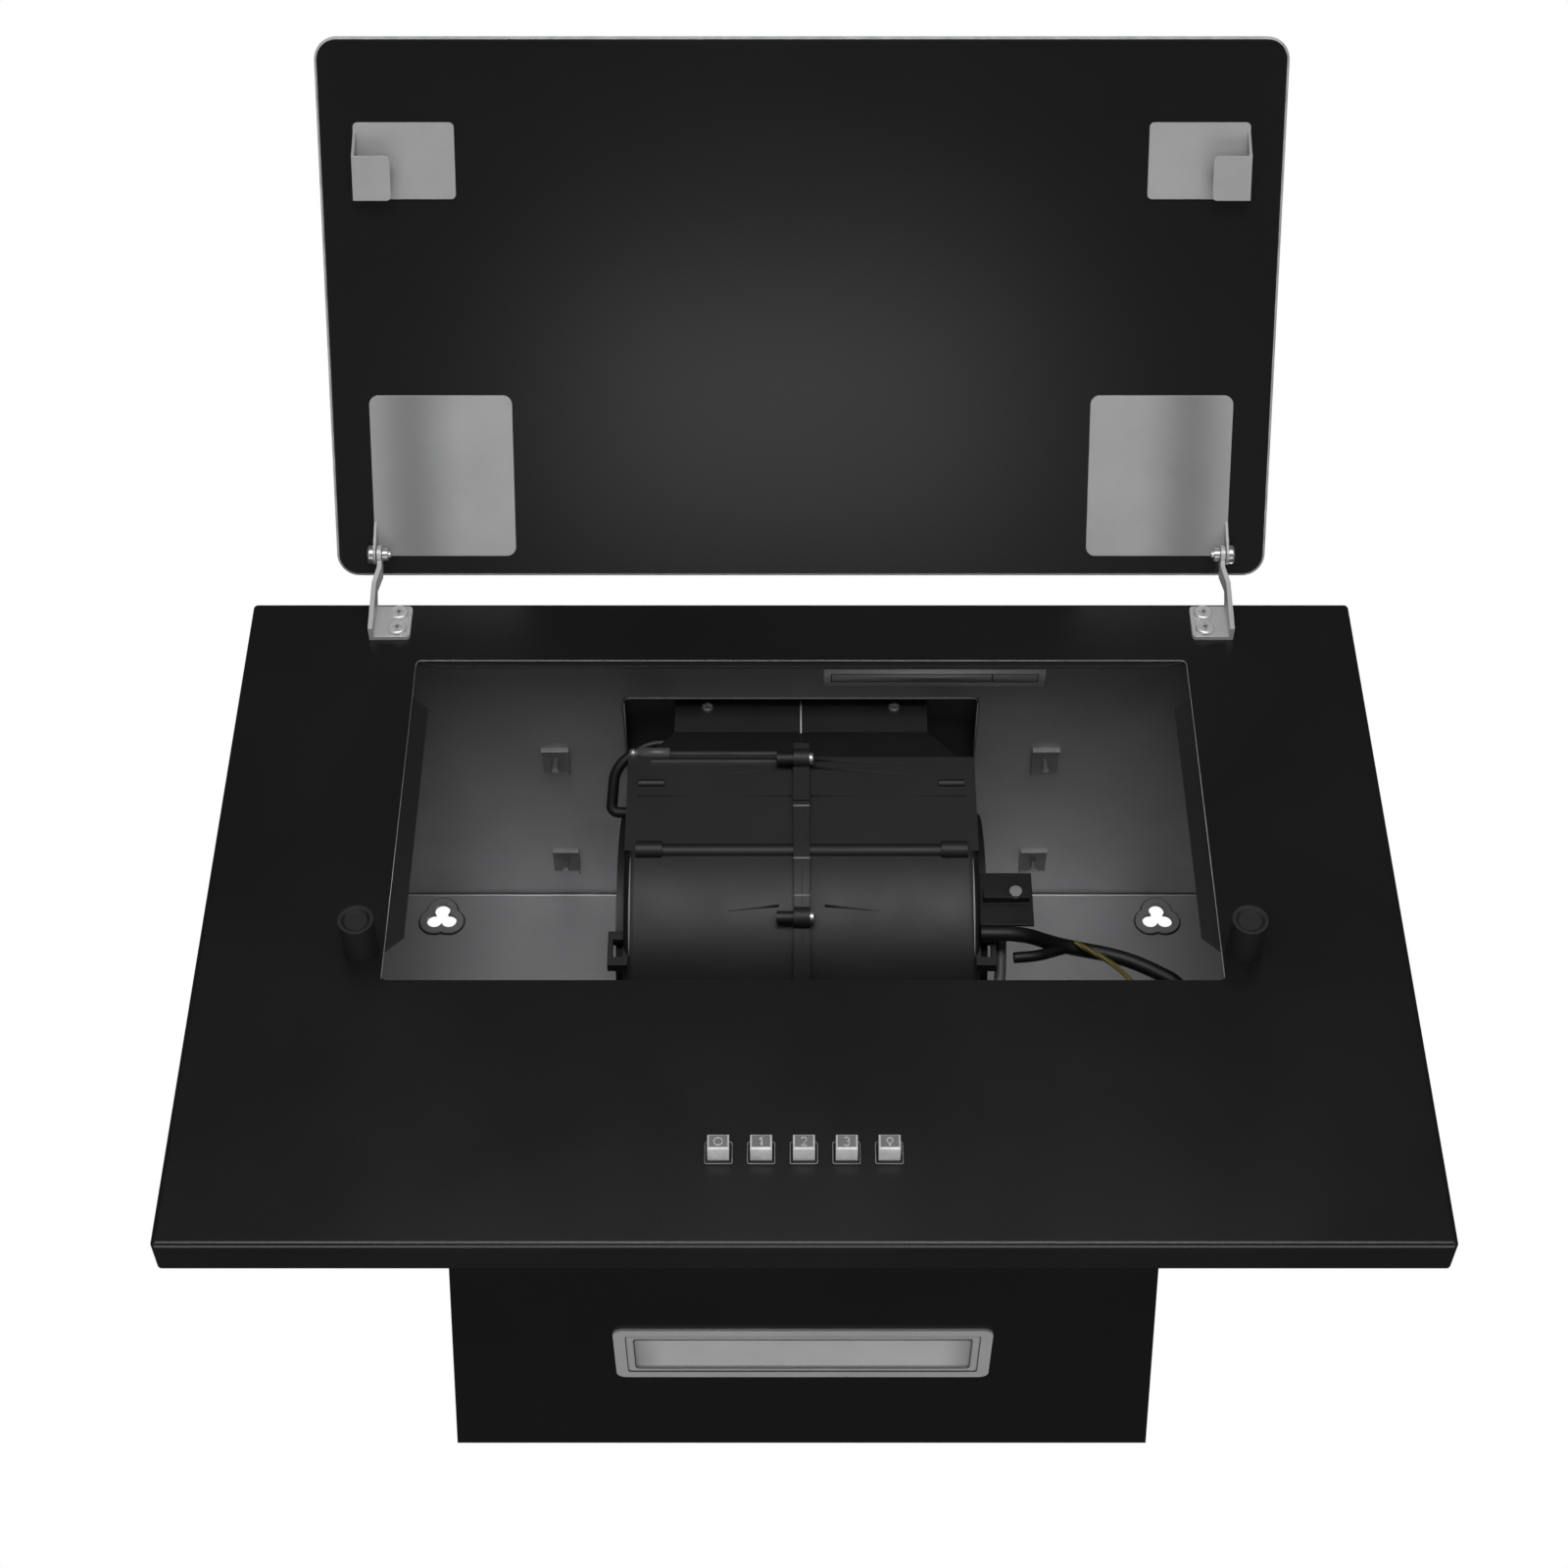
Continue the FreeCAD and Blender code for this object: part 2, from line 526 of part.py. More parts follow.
def pocket(body, sketch, length, middle=False, back=False):
    """Cuts a sketch out of the body and makes sure that it did."""
    before = body.Shape.Volume
    thing = body.newObject("PartDesign::Pocket", sketch.Name + "_pocket")
    thing.Profile = sketch
    thing.Midplane = middle
    thing.Reversed = back
    bind(thing, Length=length)
    doc.recompute()
    if body.Shape.Volume > before - EPSILON:
        raise RuntimeError(sketch.Name + " cuts nothing")
    return thing


def edge_names(body, choose):
    return [f"Edge{number}" for number, edge in enumerate(body.Shape.Edges, start=1) if choose(edge)]


def body_fillet(body, radius, choose, kind="Fillet"):
    thing = body.newObject("PartDesign::" + kind, body.Name + "_" + kind.lower() + str(len(body.Group)))
    thing.Base = (body.Tip if body.Tip != thing else body.Group[-2], edge_names(body, choose))
    bind(thing, **{"Radius" if kind == "Fillet" else "Size": radius})
    doc.recompute()
    return thing


def block(half_width, low, high):
    """Corner points of a rectangle that is centred on the hood's middle."""
    return [(f"-({half_width})", low), (half_width, low), (half_width, high), (f"-({half_width})", high)]


# The panel leans back a little, and so its pieces are drawn in a frame of their own:
# origin at the middle of the lower front edge, +Z up along the face, +Y into the hood.
LENGTH = "sqrt(panel_height ^ 2 + (depth_low - depth_high) ^ 2)"
lean = math.atan2(s.depth_low - s.depth_high, s.panel_height)
panel_length = math.hypot(s.panel_height, s.depth_low - s.depth_high)
panel_place = Placement(Vector(0, -s.depth_low, -s.edge_drop), Rotation(Vector(1, 0, 0), -math.degrees(lean)))

# The flap's frame: origin on the pivot's axis, +Z towards the free edge, the side with brackets at -Y.
pivot = panel_place.multVec(Vector(0, -s.pivot_out, panel_length + s.pivot_rise))
flap_place = Placement(pivot, Rotation(Vector(1, 0, 0), 180 - s.open_angle - math.degrees(lean)))


def front_at(height):
    """Where the back of the panel's sheet lies at a height above the hanging line, as an expression."""
    slope = "(depth_low - depth_high) / panel_height"
    thickness = "panel_sheet * sqrt(1 + ((depth_low - depth_high) / panel_height) ^ 2)"
    return f"(-depth_low + (({height}) + edge_drop) * {slope} + {thickness})"


OPENING_LOW = f"({LENGTH} - opening_below - opening_height)"
OPENING_HIGH = f"({LENGTH} - opening_below)"
SIDES = (("left", -1), ("right", 1))


# Front panel: a painted steel tray, open at the back, with the intake opening and small holes
def make_front_panel():
    body = new_body("panel_body")
    face = sketch_on(body, "XZ", "panel_outline")
    draw_outline(face, block("panel_width / 2", "0", LENGTH))
    pad(body, face, "panel_return", back=True)
    fold_middle = s.panel_return / 2

    def front_or_corner(edge):
        across_fold = abs(edge.CenterOfMass.y - fold_middle) < EPSILON
        return abs(edge.CenterOfMass.y) < EPSILON or (across_fold and runs_along(edge, Vector(0, 1, 0)))

    body_fillet(body, "panel_fold", front_or_corner)
    hollow = sketch_on(body, "XZ", "panel_hollow", "-panel_sheet")
    draw_outline(hollow, block("panel_width / 2 - panel_sheet", "panel_sheet", f"{LENGTH} - panel_sheet"))
    pocket(body, hollow, "panel_return")
    opening = sketch_on(body, "XZ", "panel_opening", "overrun")
    draw_outline(opening, block("opening_width / 2", OPENING_LOW, OPENING_HIGH))
    pocket(body, opening, "panel_return")

    def opening_corner(edge):
        middle = edge.CenterOfMass
        beside = abs(abs(middle.x) - s.opening_width / 2) < EPSILON
        return beside and abs(middle.y - s.panel_sheet / 2) < EPSILON and runs_along(edge, Vector(0, 1, 0))

    body_fillet(body, "opening_corner", opening_corner)
    holes = sketch_on(body, "XZ", "panel_holes", "overrun")
    for side in (1, -1):
        draw_circle(holes, (f"{side} * knob_place", f"{LENGTH} - knob_below"), "knob_stud")
        for drop in ("base_screw_high", "base_screw_low"):
            draw_circle(holes, (f"{side} * ({ARM_OUTER} - base_screw_in)", f"{LENGTH} - {drop}"), "small_shank")
    pocket(body, holes, "panel_sheet + 2 * overrun")
    slots = sketch_on(body, "XZ", "panel_key_slots", "overrun")
    for index in KEYS:
        centre = f"{index} * key_pitch"
        half = f"({SLEEVE_WIDTH}) / 2"
        low, high = (f"key_rise {sign} ({SLEEVE_HEIGHT}) / 2" for sign in "-+")
        corners = [(f"{centre} - {half}", low), (f"{centre} + {half}", low)]
        corners += [(f"{centre} + {half}", high), (f"{centre} - {half}", high)]
        draw_outline(slots, corners)
    pocket(body, slots, "panel_sheet + 2 * overrun")
    node(body, "front_panel", panel_place)


ARM_OUTER = "(arm_place + base_sheet + arm_joggle)"
KEYS = (-2, -1, 0, 1, 2)
SLEEVE_WIDTH = "key_width + 2 * fit_gap + 2 * bezel_wall"
SLEEVE_HEIGHT = "key_height + 2 * fit_gap + 2 * bezel_wall"


GROMMETS = (("main", "grommet_place", "grommet_depth", "cable_radius"), ("lead", "lead_place", "lead_depth", "lead_radius"))


# Suction chamber: one bent sheet for floor, wall side and ceiling, and two end plates
def make_chamber_wrap():
    body = new_body("wrap_body")
    profile = sketch_on(body, "YZ", "wrap_profile")
    floor, ceiling = "-floor_drop", "ceiling_rise"
    outer_floor, outer_ceiling = "-floor_drop - zinc_sheet", "ceiling_rise + zinc_sheet"
    inner = [(front_at(ceiling), ceiling), ("-zinc_sheet", ceiling), ("-zinc_sheet", floor), (front_at(floor), floor)]
    outer = [(front_at(outer_floor), outer_floor), ("0", outer_floor), ("0", outer_ceiling)]
    outer.append((front_at(outer_ceiling), outer_ceiling))
    draw_outline(profile, inner + outer)
    pad(body, profile, "chamber_width - 2 * zinc_sheet", middle=True)

    def bend(depth):
        def choose(edge):
            return runs_along(edge, Vector(1, 0, 0)) and abs(edge.CenterOfMass.y + depth) < EPSILON
        return choose

    body_fillet(body, "bend_radius", bend(s.zinc_sheet))
    body_fillet(body, "bend_radius + zinc_sheet", bend(0))
    rims, cuts = [], []
    through = "zinc_sheet + hook_rim_rise + 2 * overrun"
    lobes = [math.radians(angle) for angle in (90, 210, 330)]
    for side_name, side in SIDES:
        for index, angle in enumerate(lobes):
            across = f"{side} * hook_spacing / 2 + hook_lobe_out * {math.cos(angle):.6f}"
            high = f"hook_lobe_out * {math.sin(angle):.6f}"
            tag = f"{side_name}{index}"
            rims.append(rod("rim_" + tag, "hook_lobe + hook_rim", "zinc_sheet + hook_rim_rise", across,
                            "-zinc_sheet - hook_rim_rise", high, "y"))
            cuts.append(rod("hook_" + tag, "hook_lobe", through, across, "-zinc_sheet - hook_rim_rise - overrun",
                            high, "y"))
        cuts.append(rod("hook_middle_" + side_name, "hook_middle", through, f"{side} * hook_spacing / 2",
                        "-zinc_sheet - hook_rim_rise - overrun", "0", "y"))
        cuts.append(rod("low_hole_" + side_name, "low_hole_radius", "zinc_sheet + 2 * overrun",
                        f"{side} * low_hole_spacing / 2", "-zinc_sheet - overrun", "-low_hole_drop", "y"))
        for row in ("tab_front", "tab_back"):
            cuts.append(rod(f"{row}_{side_name}", "tab_screw", "zinc_sheet + 2 * overrun", f"{side} * tab_place",
                            f"-{row}", "ceiling_rise - overrun"))
    cuts.append(box("hatch_cut", "hatch_width", "hatch_front - hatch_back", "zinc_sheet + 2 * overrun",
                    "-hatch_width / 2", "-hatch_front", "ceiling_rise - overrun"))
    cuts.append(rod("gland_cut", "gland_neck", "zinc_sheet + 2 * overrun", "gland_place", "-gland_depth",
                    "ceiling_rise - overrun"))
    for name, place, depth, radius in GROMMETS:
        cuts.append(rod(name + "_cut", f"{radius} + grommet_wall", "zinc_sheet + 2 * overrun", place, f"-{depth}",
                        "-floor_drop - zinc_sheet - overrun"))
    node(without("wrap_holes", joined("wrap_rims", body, *rims), *cuts), "chamber_wrap")


def make_chamber_end(side_name, side):
    body = new_body("end_body_" + side_name)
    low, high = "-floor_drop - zinc_sheet", "ceiling_rise + zinc_sheet"
    face = "chamber_width / 2 - zinc_sheet"
    lift = face if side > 0 else f"-({face})"
    plate = sketch_on(body, "YZ", "end_plate_" + side_name, lift)
    draw_outline(plate, [(front_at(low), low), ("0", low), ("0", high), (front_at(high), high)])
    pad(body, plate, "zinc_sheet", back=side < 0)
    flange = sketch_on(body, "YZ", "end_flange_" + side_name, lift)
    inner = [(front_at(low), low), (front_at(low) + " + zinc_sheet", low)]
    draw_outline(flange, inner + [(front_at(high) + " + zinc_sheet", high), (front_at(high), high)])
    pad(body, flange, "end_flange", back=side < 0)
    node(body, "chamber_end_" + side_name)


# Dark rails behind the opening, which guide the grease filter
def make_side_rail(side_name, side):
    body = new_body("rail_body_" + side_name)
    low, high = f"{OPENING_LOW} + rail_inset_low", f"{OPENING_HIGH} - rail_inset_top"
    outer, edge, inner = ("opening_width / 2 + rail_seat", "opening_width / 2", "opening_width / 2 - rail_show")
    strip = [(outer, low), (edge, low), (inner, f"{low} + rail_chamfer")]
    strip += [(inner, f"{high} - rail_chamfer"), (edge, high), (outer, high)]
    web = [(outer, low), (f"{outer} - rail_sheet", low), (f"{outer} - rail_sheet", high), (outer, high)]
    for name, points, depth in (("rail_strip_", strip, "rail_sheet"), ("rail_web_", web, "rail_web")):
        sketch = sketch_on(body, "XZ", name + side_name, "-panel_sheet")
        draw_outline(sketch, [(f"{side} * ({across})", up) for across, up in points])
        pad(body, sketch, depth, back=True)
    node(body, "filter_rail_" + side_name, panel_place)


def make_top_rail():
    body = new_body("top_rail_body")
    half = "opening_width / 2"
    low, high = f"{OPENING_HIGH} - strip_show", f"{OPENING_HIGH} + strip_seat"
    right = [(f"{half} - strip_chamfer", low), (half, OPENING_HIGH), (half, high)]
    left = [(f"-({across})", up) for across, up in reversed(right)]
    sketch = sketch_on(body, "XZ", "top_rail_strip", "-panel_sheet")
    draw_outline(sketch, right + left)
    pad(body, sketch, "rail_sheet", back=True)
    node(body, "filter_rail_top", panel_place)


# Lower box with the lamp in its underside
BOX_LOW = "(-edge_drop + box_lift)"
LAMP_FACE = f"({BOX_LOW} - lamp_flange)"
SLEEVE_LENGTH = "(lamp_length - 2 * lamp_rim)"
SLEEVE_DEEP = "(lamp_width - 2 * lamp_rim)"


def centred(name, across, deep, high, y, z):
    """A box centred on the hood's middle and on a depth from the wall."""
    return box(name, across, deep, high, f"-({across}) / 2", f"({y}) - ({deep}) / 2", z)


def make_lower_box():
    body = new_body("low_body")
    height = "edge_drop - box_lift - floor_drop - zinc_sheet"
    front = front_at(BOX_LOW)
    outline = [("box_width_wall / 2", "0"), ("box_width_front / 2", front)]
    base = sketch_on(body, "XY", "low_outline", BOX_LOW)
    draw_outline(base, outline + [(f"-({across})", deep) for across, deep in reversed(outline)])
    pad(body, base, height)
    slope = "(box_width_wall - box_width_front) / 2"
    inner = [("box_width_wall / 2 - box_sheet", "-box_sheet")]
    inner.append((f"box_width_front / 2 - box_sheet - {slope} / 4", f"{front} * 5 / 4"))
    hollow = sketch_on(body, "XY", "low_hollow", f"{BOX_LOW} + box_sheet")
    draw_outline(hollow, inner + [(f"-({across})", deep) for across, deep in reversed(inner)])
    pocket(body, hollow, height, back=True)
    wall_side = doc.addObject("Part::Box", "low_front_tool")
    bind(wall_side, Length="panel_width", Width="depth_low + overrun", Height=f"{LENGTH} + panel_height / 4")
    corner = Vector(-s.panel_width / 2, s.panel_sheet, -s.panel_height / 4)
    wall_side.Placement = panel_place.multiply(Placement(corner, Rotation()))
    lamp_hole = centred("lamp_hole", SLEEVE_LENGTH, SLEEVE_DEEP, "box_sheet + 2 * overrun", "-lamp_depth",
                        f"{BOX_LOW} - overrun")
    node(without("low_lamp_cut", shared("low_fitted", body, wall_side), lamp_hole), "lower_box")


def upright_corners(edge):
    return runs_along(edge, Vector(0, 0, 1))


def make_lamp():
    deep, y = "lamp_width", "-lamp_depth"
    plate = centred("lamp_plate", "lamp_length", deep, "lamp_flange", y, LAMP_FACE)
    plate = rounded("lamp_plate_round", plate, s.lamp_corner, upright_corners)
    sleeve = centred("lamp_sleeve_out", SLEEVE_LENGTH, SLEEVE_DEEP, "lamp_sleeve", y, BOX_LOW)
    bore = centred("lamp_bore", f"{SLEEVE_LENGTH} - 2 * lamp_wall", f"{SLEEVE_DEEP} - 2 * lamp_wall",
                   "lamp_sleeve", y, BOX_LOW)
    window = centred("lamp_window", f"{SLEEVE_LENGTH} - 2 * lamp_step", f"{SLEEVE_DEEP} - 2 * lamp_step",
                     "lamp_sleeve", y, f"{LAMP_FACE} - overrun")
    step = centred("lamp_step_cut", SLEEVE_LENGTH, SLEEVE_DEEP, "overrun", y,
                   f"{LAMP_FACE} - overrun + lamp_flange / 2")
    node(without("lamp_frame_cut", joined("lamp_frame_join", plate, sleeve), bore, window, step), "lamp_frame")
    inside_length = f"({SLEEVE_LENGTH} - 2 * lamp_wall)"
    inside_deep = f"({SLEEVE_DEEP} - 2 * lamp_wall)"
    node(centred("lens", inside_length, inside_deep, "lens_sheet", y, BOX_LOW), "lamp_lens")
    board_low = f"{BOX_LOW} + lens_sheet + board_gap"
    node(centred("board", inside_length, inside_deep, "board_sheet", y, board_low), "lamp_board")
    chips = []
    count = int(s.chip_count)
    for index in range(count):
        share = (index - (count - 1) / 2) / count
        chips.append(box(f"chip_{index}", "chip_side", "chip_side", "chip_rise",
                         f"{share} * {inside_length} - chip_side / 2", f"{y} - chip_side / 2",
                         f"{board_low} - chip_rise"))
    node(joined("chips", *chips), "light_chips")


# Push buttons, their bezels and the switch block behind them
def key_box(name, index, across, high, y, deep):
    return box(name, across, deep, high, f"{index} * key_pitch - ({across}) / 2", y, f"key_rise - ({high}) / 2")


def make_keys():
    names = ("off", "speed_1", "speed_2", "speed_3", "lamp")
    for index, name in zip(KEYS, names):
        body = new_body("key_body_" + name)
        cap = sketch_on(body, "XZ", "key_cap_" + name, "key_proud")
        low, high = "key_rise - key_height / 2", "key_rise + key_height / 2"
        left, right = (f"{index} * key_pitch {sign} key_width / 2" for sign in "-+")
        draw_outline(cap, [(left, low), (right, low), (right, high), (left, high)])
        pad(body, cap, "key_proud + key_back", back=True)

        def front_corner(edge, front=-s.key_proud):
            corner = edge.CenterOfMass
            return abs(corner.y - front) < EPSILON

        body_fillet(body, "key_chamfer", front_corner, "Chamfer")
        stem = sketch_on(body, "XZ", "key_stem_" + name, "-key_back")
        low, high = "key_rise - key_stem / 2", "key_rise + key_stem / 2"
        left, right = (f"{index} * key_pitch {sign} key_stem / 2" for sign in "-+")
        draw_outline(stem, [(left, low), (right, low), (right, high), (left, high)])
        pad(body, stem, "key_stem_length", back=True)
        node(body, "key_" + name, panel_place)


def make_bezels():
    for_sleeve = "switch_seat + bezel_face"
    rims = []
    for index in KEYS:
        flange = key_box(f"bezel_flange_{index + 2}", index, "bezel_width", "bezel_height", "-bezel_face", "bezel_face")
        sleeve = key_box(f"bezel_sleeve_{index + 2}", index, SLEEVE_WIDTH, SLEEVE_HEIGHT, "-bezel_face", for_sleeve)
        bore = key_box(f"bezel_bore_{index + 2}", index, "key_width + 2 * fit_gap", "key_height + 2 * fit_gap",
                       "-bezel_face - overrun", f"{for_sleeve} + 2 * overrun")
        rims.append(without(f"bezel_{index + 2}", joined(f"bezel_join_{index + 2}", flange, sleeve), bore))
    node(joined("bezels", *rims), "key_bezels", panel_place)


def make_switch_block():
    half = f"({KEYS[-1]} * key_pitch + key_width / 2 + switch_margin)"
    low = "key_rise - switch_height / 2"
    parts = [box("switch_case", f"2 * {half}", "switch_depth", "switch_height", f"-{half}", "switch_seat", low)]
    for side_name, side in SIDES:
        parts.append(box("switch_foot_" + side_name, "switch_foot", "switch_seat - panel_sheet", "switch_height",
                         start(side, f"{half} - switch_foot", half), "panel_sheet", low))
    slots = []
    bore = "key_stem + 2 * fit_gap"
    depth = "key_back + key_stem_length + key_travel - switch_seat + 2 * fit_gap + overrun"
    for index in KEYS:
        slots.append(key_box(f"switch_slot_{index + 2}", index, bore, bore, "switch_seat - overrun", depth))
    node(without("switch_cut", joined("switch_join", *parts), *slots), "switch_block", panel_place)


# Hinge bases on the panel, each with an arm that carries the pivot
def make_hinge_base(side_name, side):
    plate = box("base_plate_" + side_name, "base_width", "base_sheet", "base_height",
                start(side, f"{ARM_OUTER} - base_width", ARM_OUTER), "-base_sheet",
                f"{LENGTH} - base_below - base_height")
    inner_side = side > 0

    def inner_corner(edge):
        at_inner = edge.CenterOfMass.x < s.arm_place if inner_side else edge.CenterOfMass.x > -s.arm_place
        return runs_along(edge, Vector(0, 1, 0)) and at_inner

    plate = rounded("base_round_" + side_name, plate, s.bracket_corner / 2, inner_corner)
    body = new_body("arm_body_" + side_name)
    lift = "arm_place" if side > 0 else "-arm_place"
    outline = sketch_on(body, "YZ", "arm_outline_" + side_name, lift)
    foot_low, foot_high = f"{LENGTH} - base_below - base_height", f"{LENGTH} - base_below"
    tip = f"{LENGTH} + pivot_rise"
    step_low, step_high = f"{LENGTH} + arm_step", f"{LENGTH} + arm_step + arm_bend"
    points = [("0", foot_low), ("-arm_foot", foot_low), ("-arm_knee", step_low), ("-pivot_out - arm_tip", tip)]
    draw_outline(outline, points + [("-pivot_out + arm_tip", tip), ("0", foot_high)])
    width = "base_sheet + arm_joggle"
    pad(body, outline, width, back=side < 0)
    eye = sketch_on(body, "YZ", "arm_eye_" + side_name, lift)
    draw_circle(eye, ("-pivot_out", tip), "arm_tip")
    pad(body, eye, width, back=side < 0)
    strip_body = new_body("arm_strip_body_" + side_name)
    strip = sketch_on(strip_body, "XZ", "arm_strip_" + side_name, "-overrun")
    top = f"{tip} + arm_tip + overrun"
    courses = [("arm_place + arm_joggle", foot_low), (ARM_OUTER, foot_low), (ARM_OUTER, step_low),
               ("arm_place + base_sheet", step_high), ("arm_place + base_sheet", top), ("arm_place", top),
               ("arm_place", step_high), ("arm_place + arm_joggle", step_low)]
    draw_outline(strip, [(f"{side} * ({across})", up) for across, up in courses])
    pad(strip_body, strip, "pivot_out + arm_tip + 2 * overrun")
    arm = shared("arm_" + side_name, body, strip_body)
    holes = [rod("arm_bore_" + side_name, "pivot_shank + pivot_bore_gap", "panel_return",
                 start(side, "arm_place - overrun", "arm_place - overrun + panel_return"), "-pivot_out", tip, "x")]
    for tag, drop in (("a", "base_screw_high"), ("b", "base_screw_low")):
        holes.append(rod(f"base_hole_{tag}_{side_name}", "small_shank", "base_sheet + 2 * overrun",
                         f"{side} * ({ARM_OUTER} - base_screw_in)", "-base_sheet - overrun", f"{LENGTH} - {drop}", "y"))
    node(without("base_" + side_name, joined("base_join_" + side_name, plate, arm), *holes),
         "hinge_base_" + side_name, panel_place)


def pan_screw(tag, x, y, z, head="small_head", head_rise="small_head_rise", shank="small_shank", reach="small_reach"):
    """A pan head screw along +Y with its head's underside at y, and a cross recess."""
    cap = rod("cap_" + tag, head, head_rise, x, f"{y} - {head_rise}", z, "y")
    cap = rounded("cap_round_" + tag, cap, s.head_round,
                  lambda edge: is_circle(edge) and edge.CenterOfMass.y < cap.Shape.CenterOfMass.y)
    stem = rod("stem_" + tag, shank, reach, x, y, z, "y")
    arm_length = f"({head} * 2 * cross_share)"
    across = box("cross_a_" + tag, arm_length, "slot_depth + overrun", "slot_width", f"{x} - {arm_length} / 2",
                 f"{y} - {head_rise} - overrun", f"{z} - slot_width / 2")
    upright = box("cross_b_" + tag, "slot_width", "slot_depth + overrun", arm_length, f"{x} - slot_width / 2",
                  f"{y} - {head_rise} - overrun", f"{z} - {arm_length} / 2")
    return without("screw_" + tag, joined("screw_join_" + tag, cap, stem), across, upright)


def make_base_screws():
    screws = []
    for side_name, side in SIDES:
        for tag, drop in (("high", "base_screw_high"), ("low", "base_screw_low")):
            screws.append(pan_screw(f"base_{side_name}_{tag}", f"{side} * ({ARM_OUTER} - base_screw_in)",
                                    "-base_sheet", f"{LENGTH} - {drop}"))
    node(joined("base_screws", *screws), "hinge_base_screws", panel_place)


# Flap: black glass with two hinge brackets and two hook plates bonded to its inner side
def make_glass():
    body = new_body("glass_body")
    outline = sketch_on(body, "XZ", "glass_outline", "-glass_off")
    draw_outline(outline, block("glass_width / 2", "-glass_tail", "glass_reach"))
    pad(body, outline, "glass_sheet", back=True)
    body_fillet(body, "glass_corner", lambda edge: runs_along(edge, Vector(0, 1, 0)))
    faces = (s.glass_off, s.glass_off + s.glass_sheet)

    def rim(edge):
        return any(abs(edge.CenterOfMass.y - face) < EPSILON for face in faces)

    body_fillet(body, "glass_edge", rim, "Chamfer")
    node(body, "flap_glass", flap_place)


EAR_OUTER = "(arm_place + base_sheet + ear_gap + arm_sheet)"
EAR_INNER = "(arm_place + base_sheet + ear_gap)"


def make_flap_bracket(side_name, side):
    inner = f"{EAR_OUTER} - bracket_width"
    plate = box("bracket_plate_" + side_name, "bracket_width", "arm_sheet", "bracket_reach + bracket_tail",
                start(side, inner, EAR_OUTER), "glass_off - arm_sheet", "-bracket_tail")
    outer_side = side > 0

    def free_corner(edge):
        low_outer = edge.CenterOfMass.z < s.ear_reach and abs(edge.CenterOfMass.x) > s.arm_place
        return runs_along(edge, Vector(0, 1, 0)) and not low_outer

    plate = rounded("bracket_round_" + side_name, plate, s.bracket_corner, free_corner)
    body = new_body("ear_body_" + side_name)
    lift = EAR_INNER if outer_side else f"-{EAR_INNER}"
    ear = sketch_on(body, "YZ", "ear_outline_" + side_name, lift)
    round_share = math.sqrt(0.5)
    points = [("glass_off", "-bracket_tail"), ("0", "-ear_round")]
    points.append((f"-ear_round * {round_share:.9f}", f"ear_round * {round_share:.9f}"))
    draw_outline(ear, points + [("glass_off", "ear_reach")])
    pad(body, ear, "arm_sheet", back=not outer_side)
    eye = sketch_on(body, "YZ", "ear_eye_" + side_name, lift)
    draw_circle(eye, ("0", "0"), "ear_round")
    pad(body, eye, "arm_sheet", back=not outer_side)
    bore = rod("ear_bore_" + side_name, "pivot_shank", "arm_sheet + 2 * overrun",
               start(side, f"{EAR_INNER} - overrun", f"{EAR_OUTER} + overrun"), "0", "0", "x")
    node(without("bracket_" + side_name, joined("bracket_join_" + side_name, plate, body), bore),
         "flap_bracket_" + side_name, flap_place)


def make_hook(side_name, side):
    plate = box("hook_sheet_" + side_name, "clip_outer - clip_inner", "arm_sheet", "clip_far - clip_near",
                start(side, "clip_inner", "clip_outer"), "glass_off - arm_sheet", "clip_near")
    plate = rounded("hook_plate_round_" + side_name, plate, s.bracket_corner / 2,
                    lambda edge: runs_along(edge, Vector(0, 1, 0)))
    body = new_body("hook_wall_body_" + side_name)
    lift = "(clip_outer - arm_sheet)" if side > 0 else "-(clip_outer - arm_sheet)"
    wall = sketch_on(body, "YZ", "hook_wall_" + side_name, lift)
    lip_high = "clip_near + clip_lip_width"
    front = "glass_off - clip_rise"
    draw_outline(wall, [("glass_off", "clip_near"), (front, "clip_near"), (front, lip_high),
                        ("glass_off", "clip_far - bracket_corner / 2")])
    pad(body, wall, "arm_sheet", back=side < 0)
    lip = box("hook_lip_" + side_name, "clip_lip", "arm_sheet", "clip_lip_width",
              start(side, "clip_outer - clip_lip", "clip_outer"), front, "clip_near")
    lip = rounded("hook_lip_round_" + side_name, lip, s.bracket_corner / 2,
                  lambda edge: runs_along(edge, Vector(0, 1, 0)) and abs(edge.CenterOfMass.x) < s.clip_outer - s.arm_sheet)
    node(joined("hook_" + side_name, plate, body, lip), "hook_plate_" + side_name, flap_place)


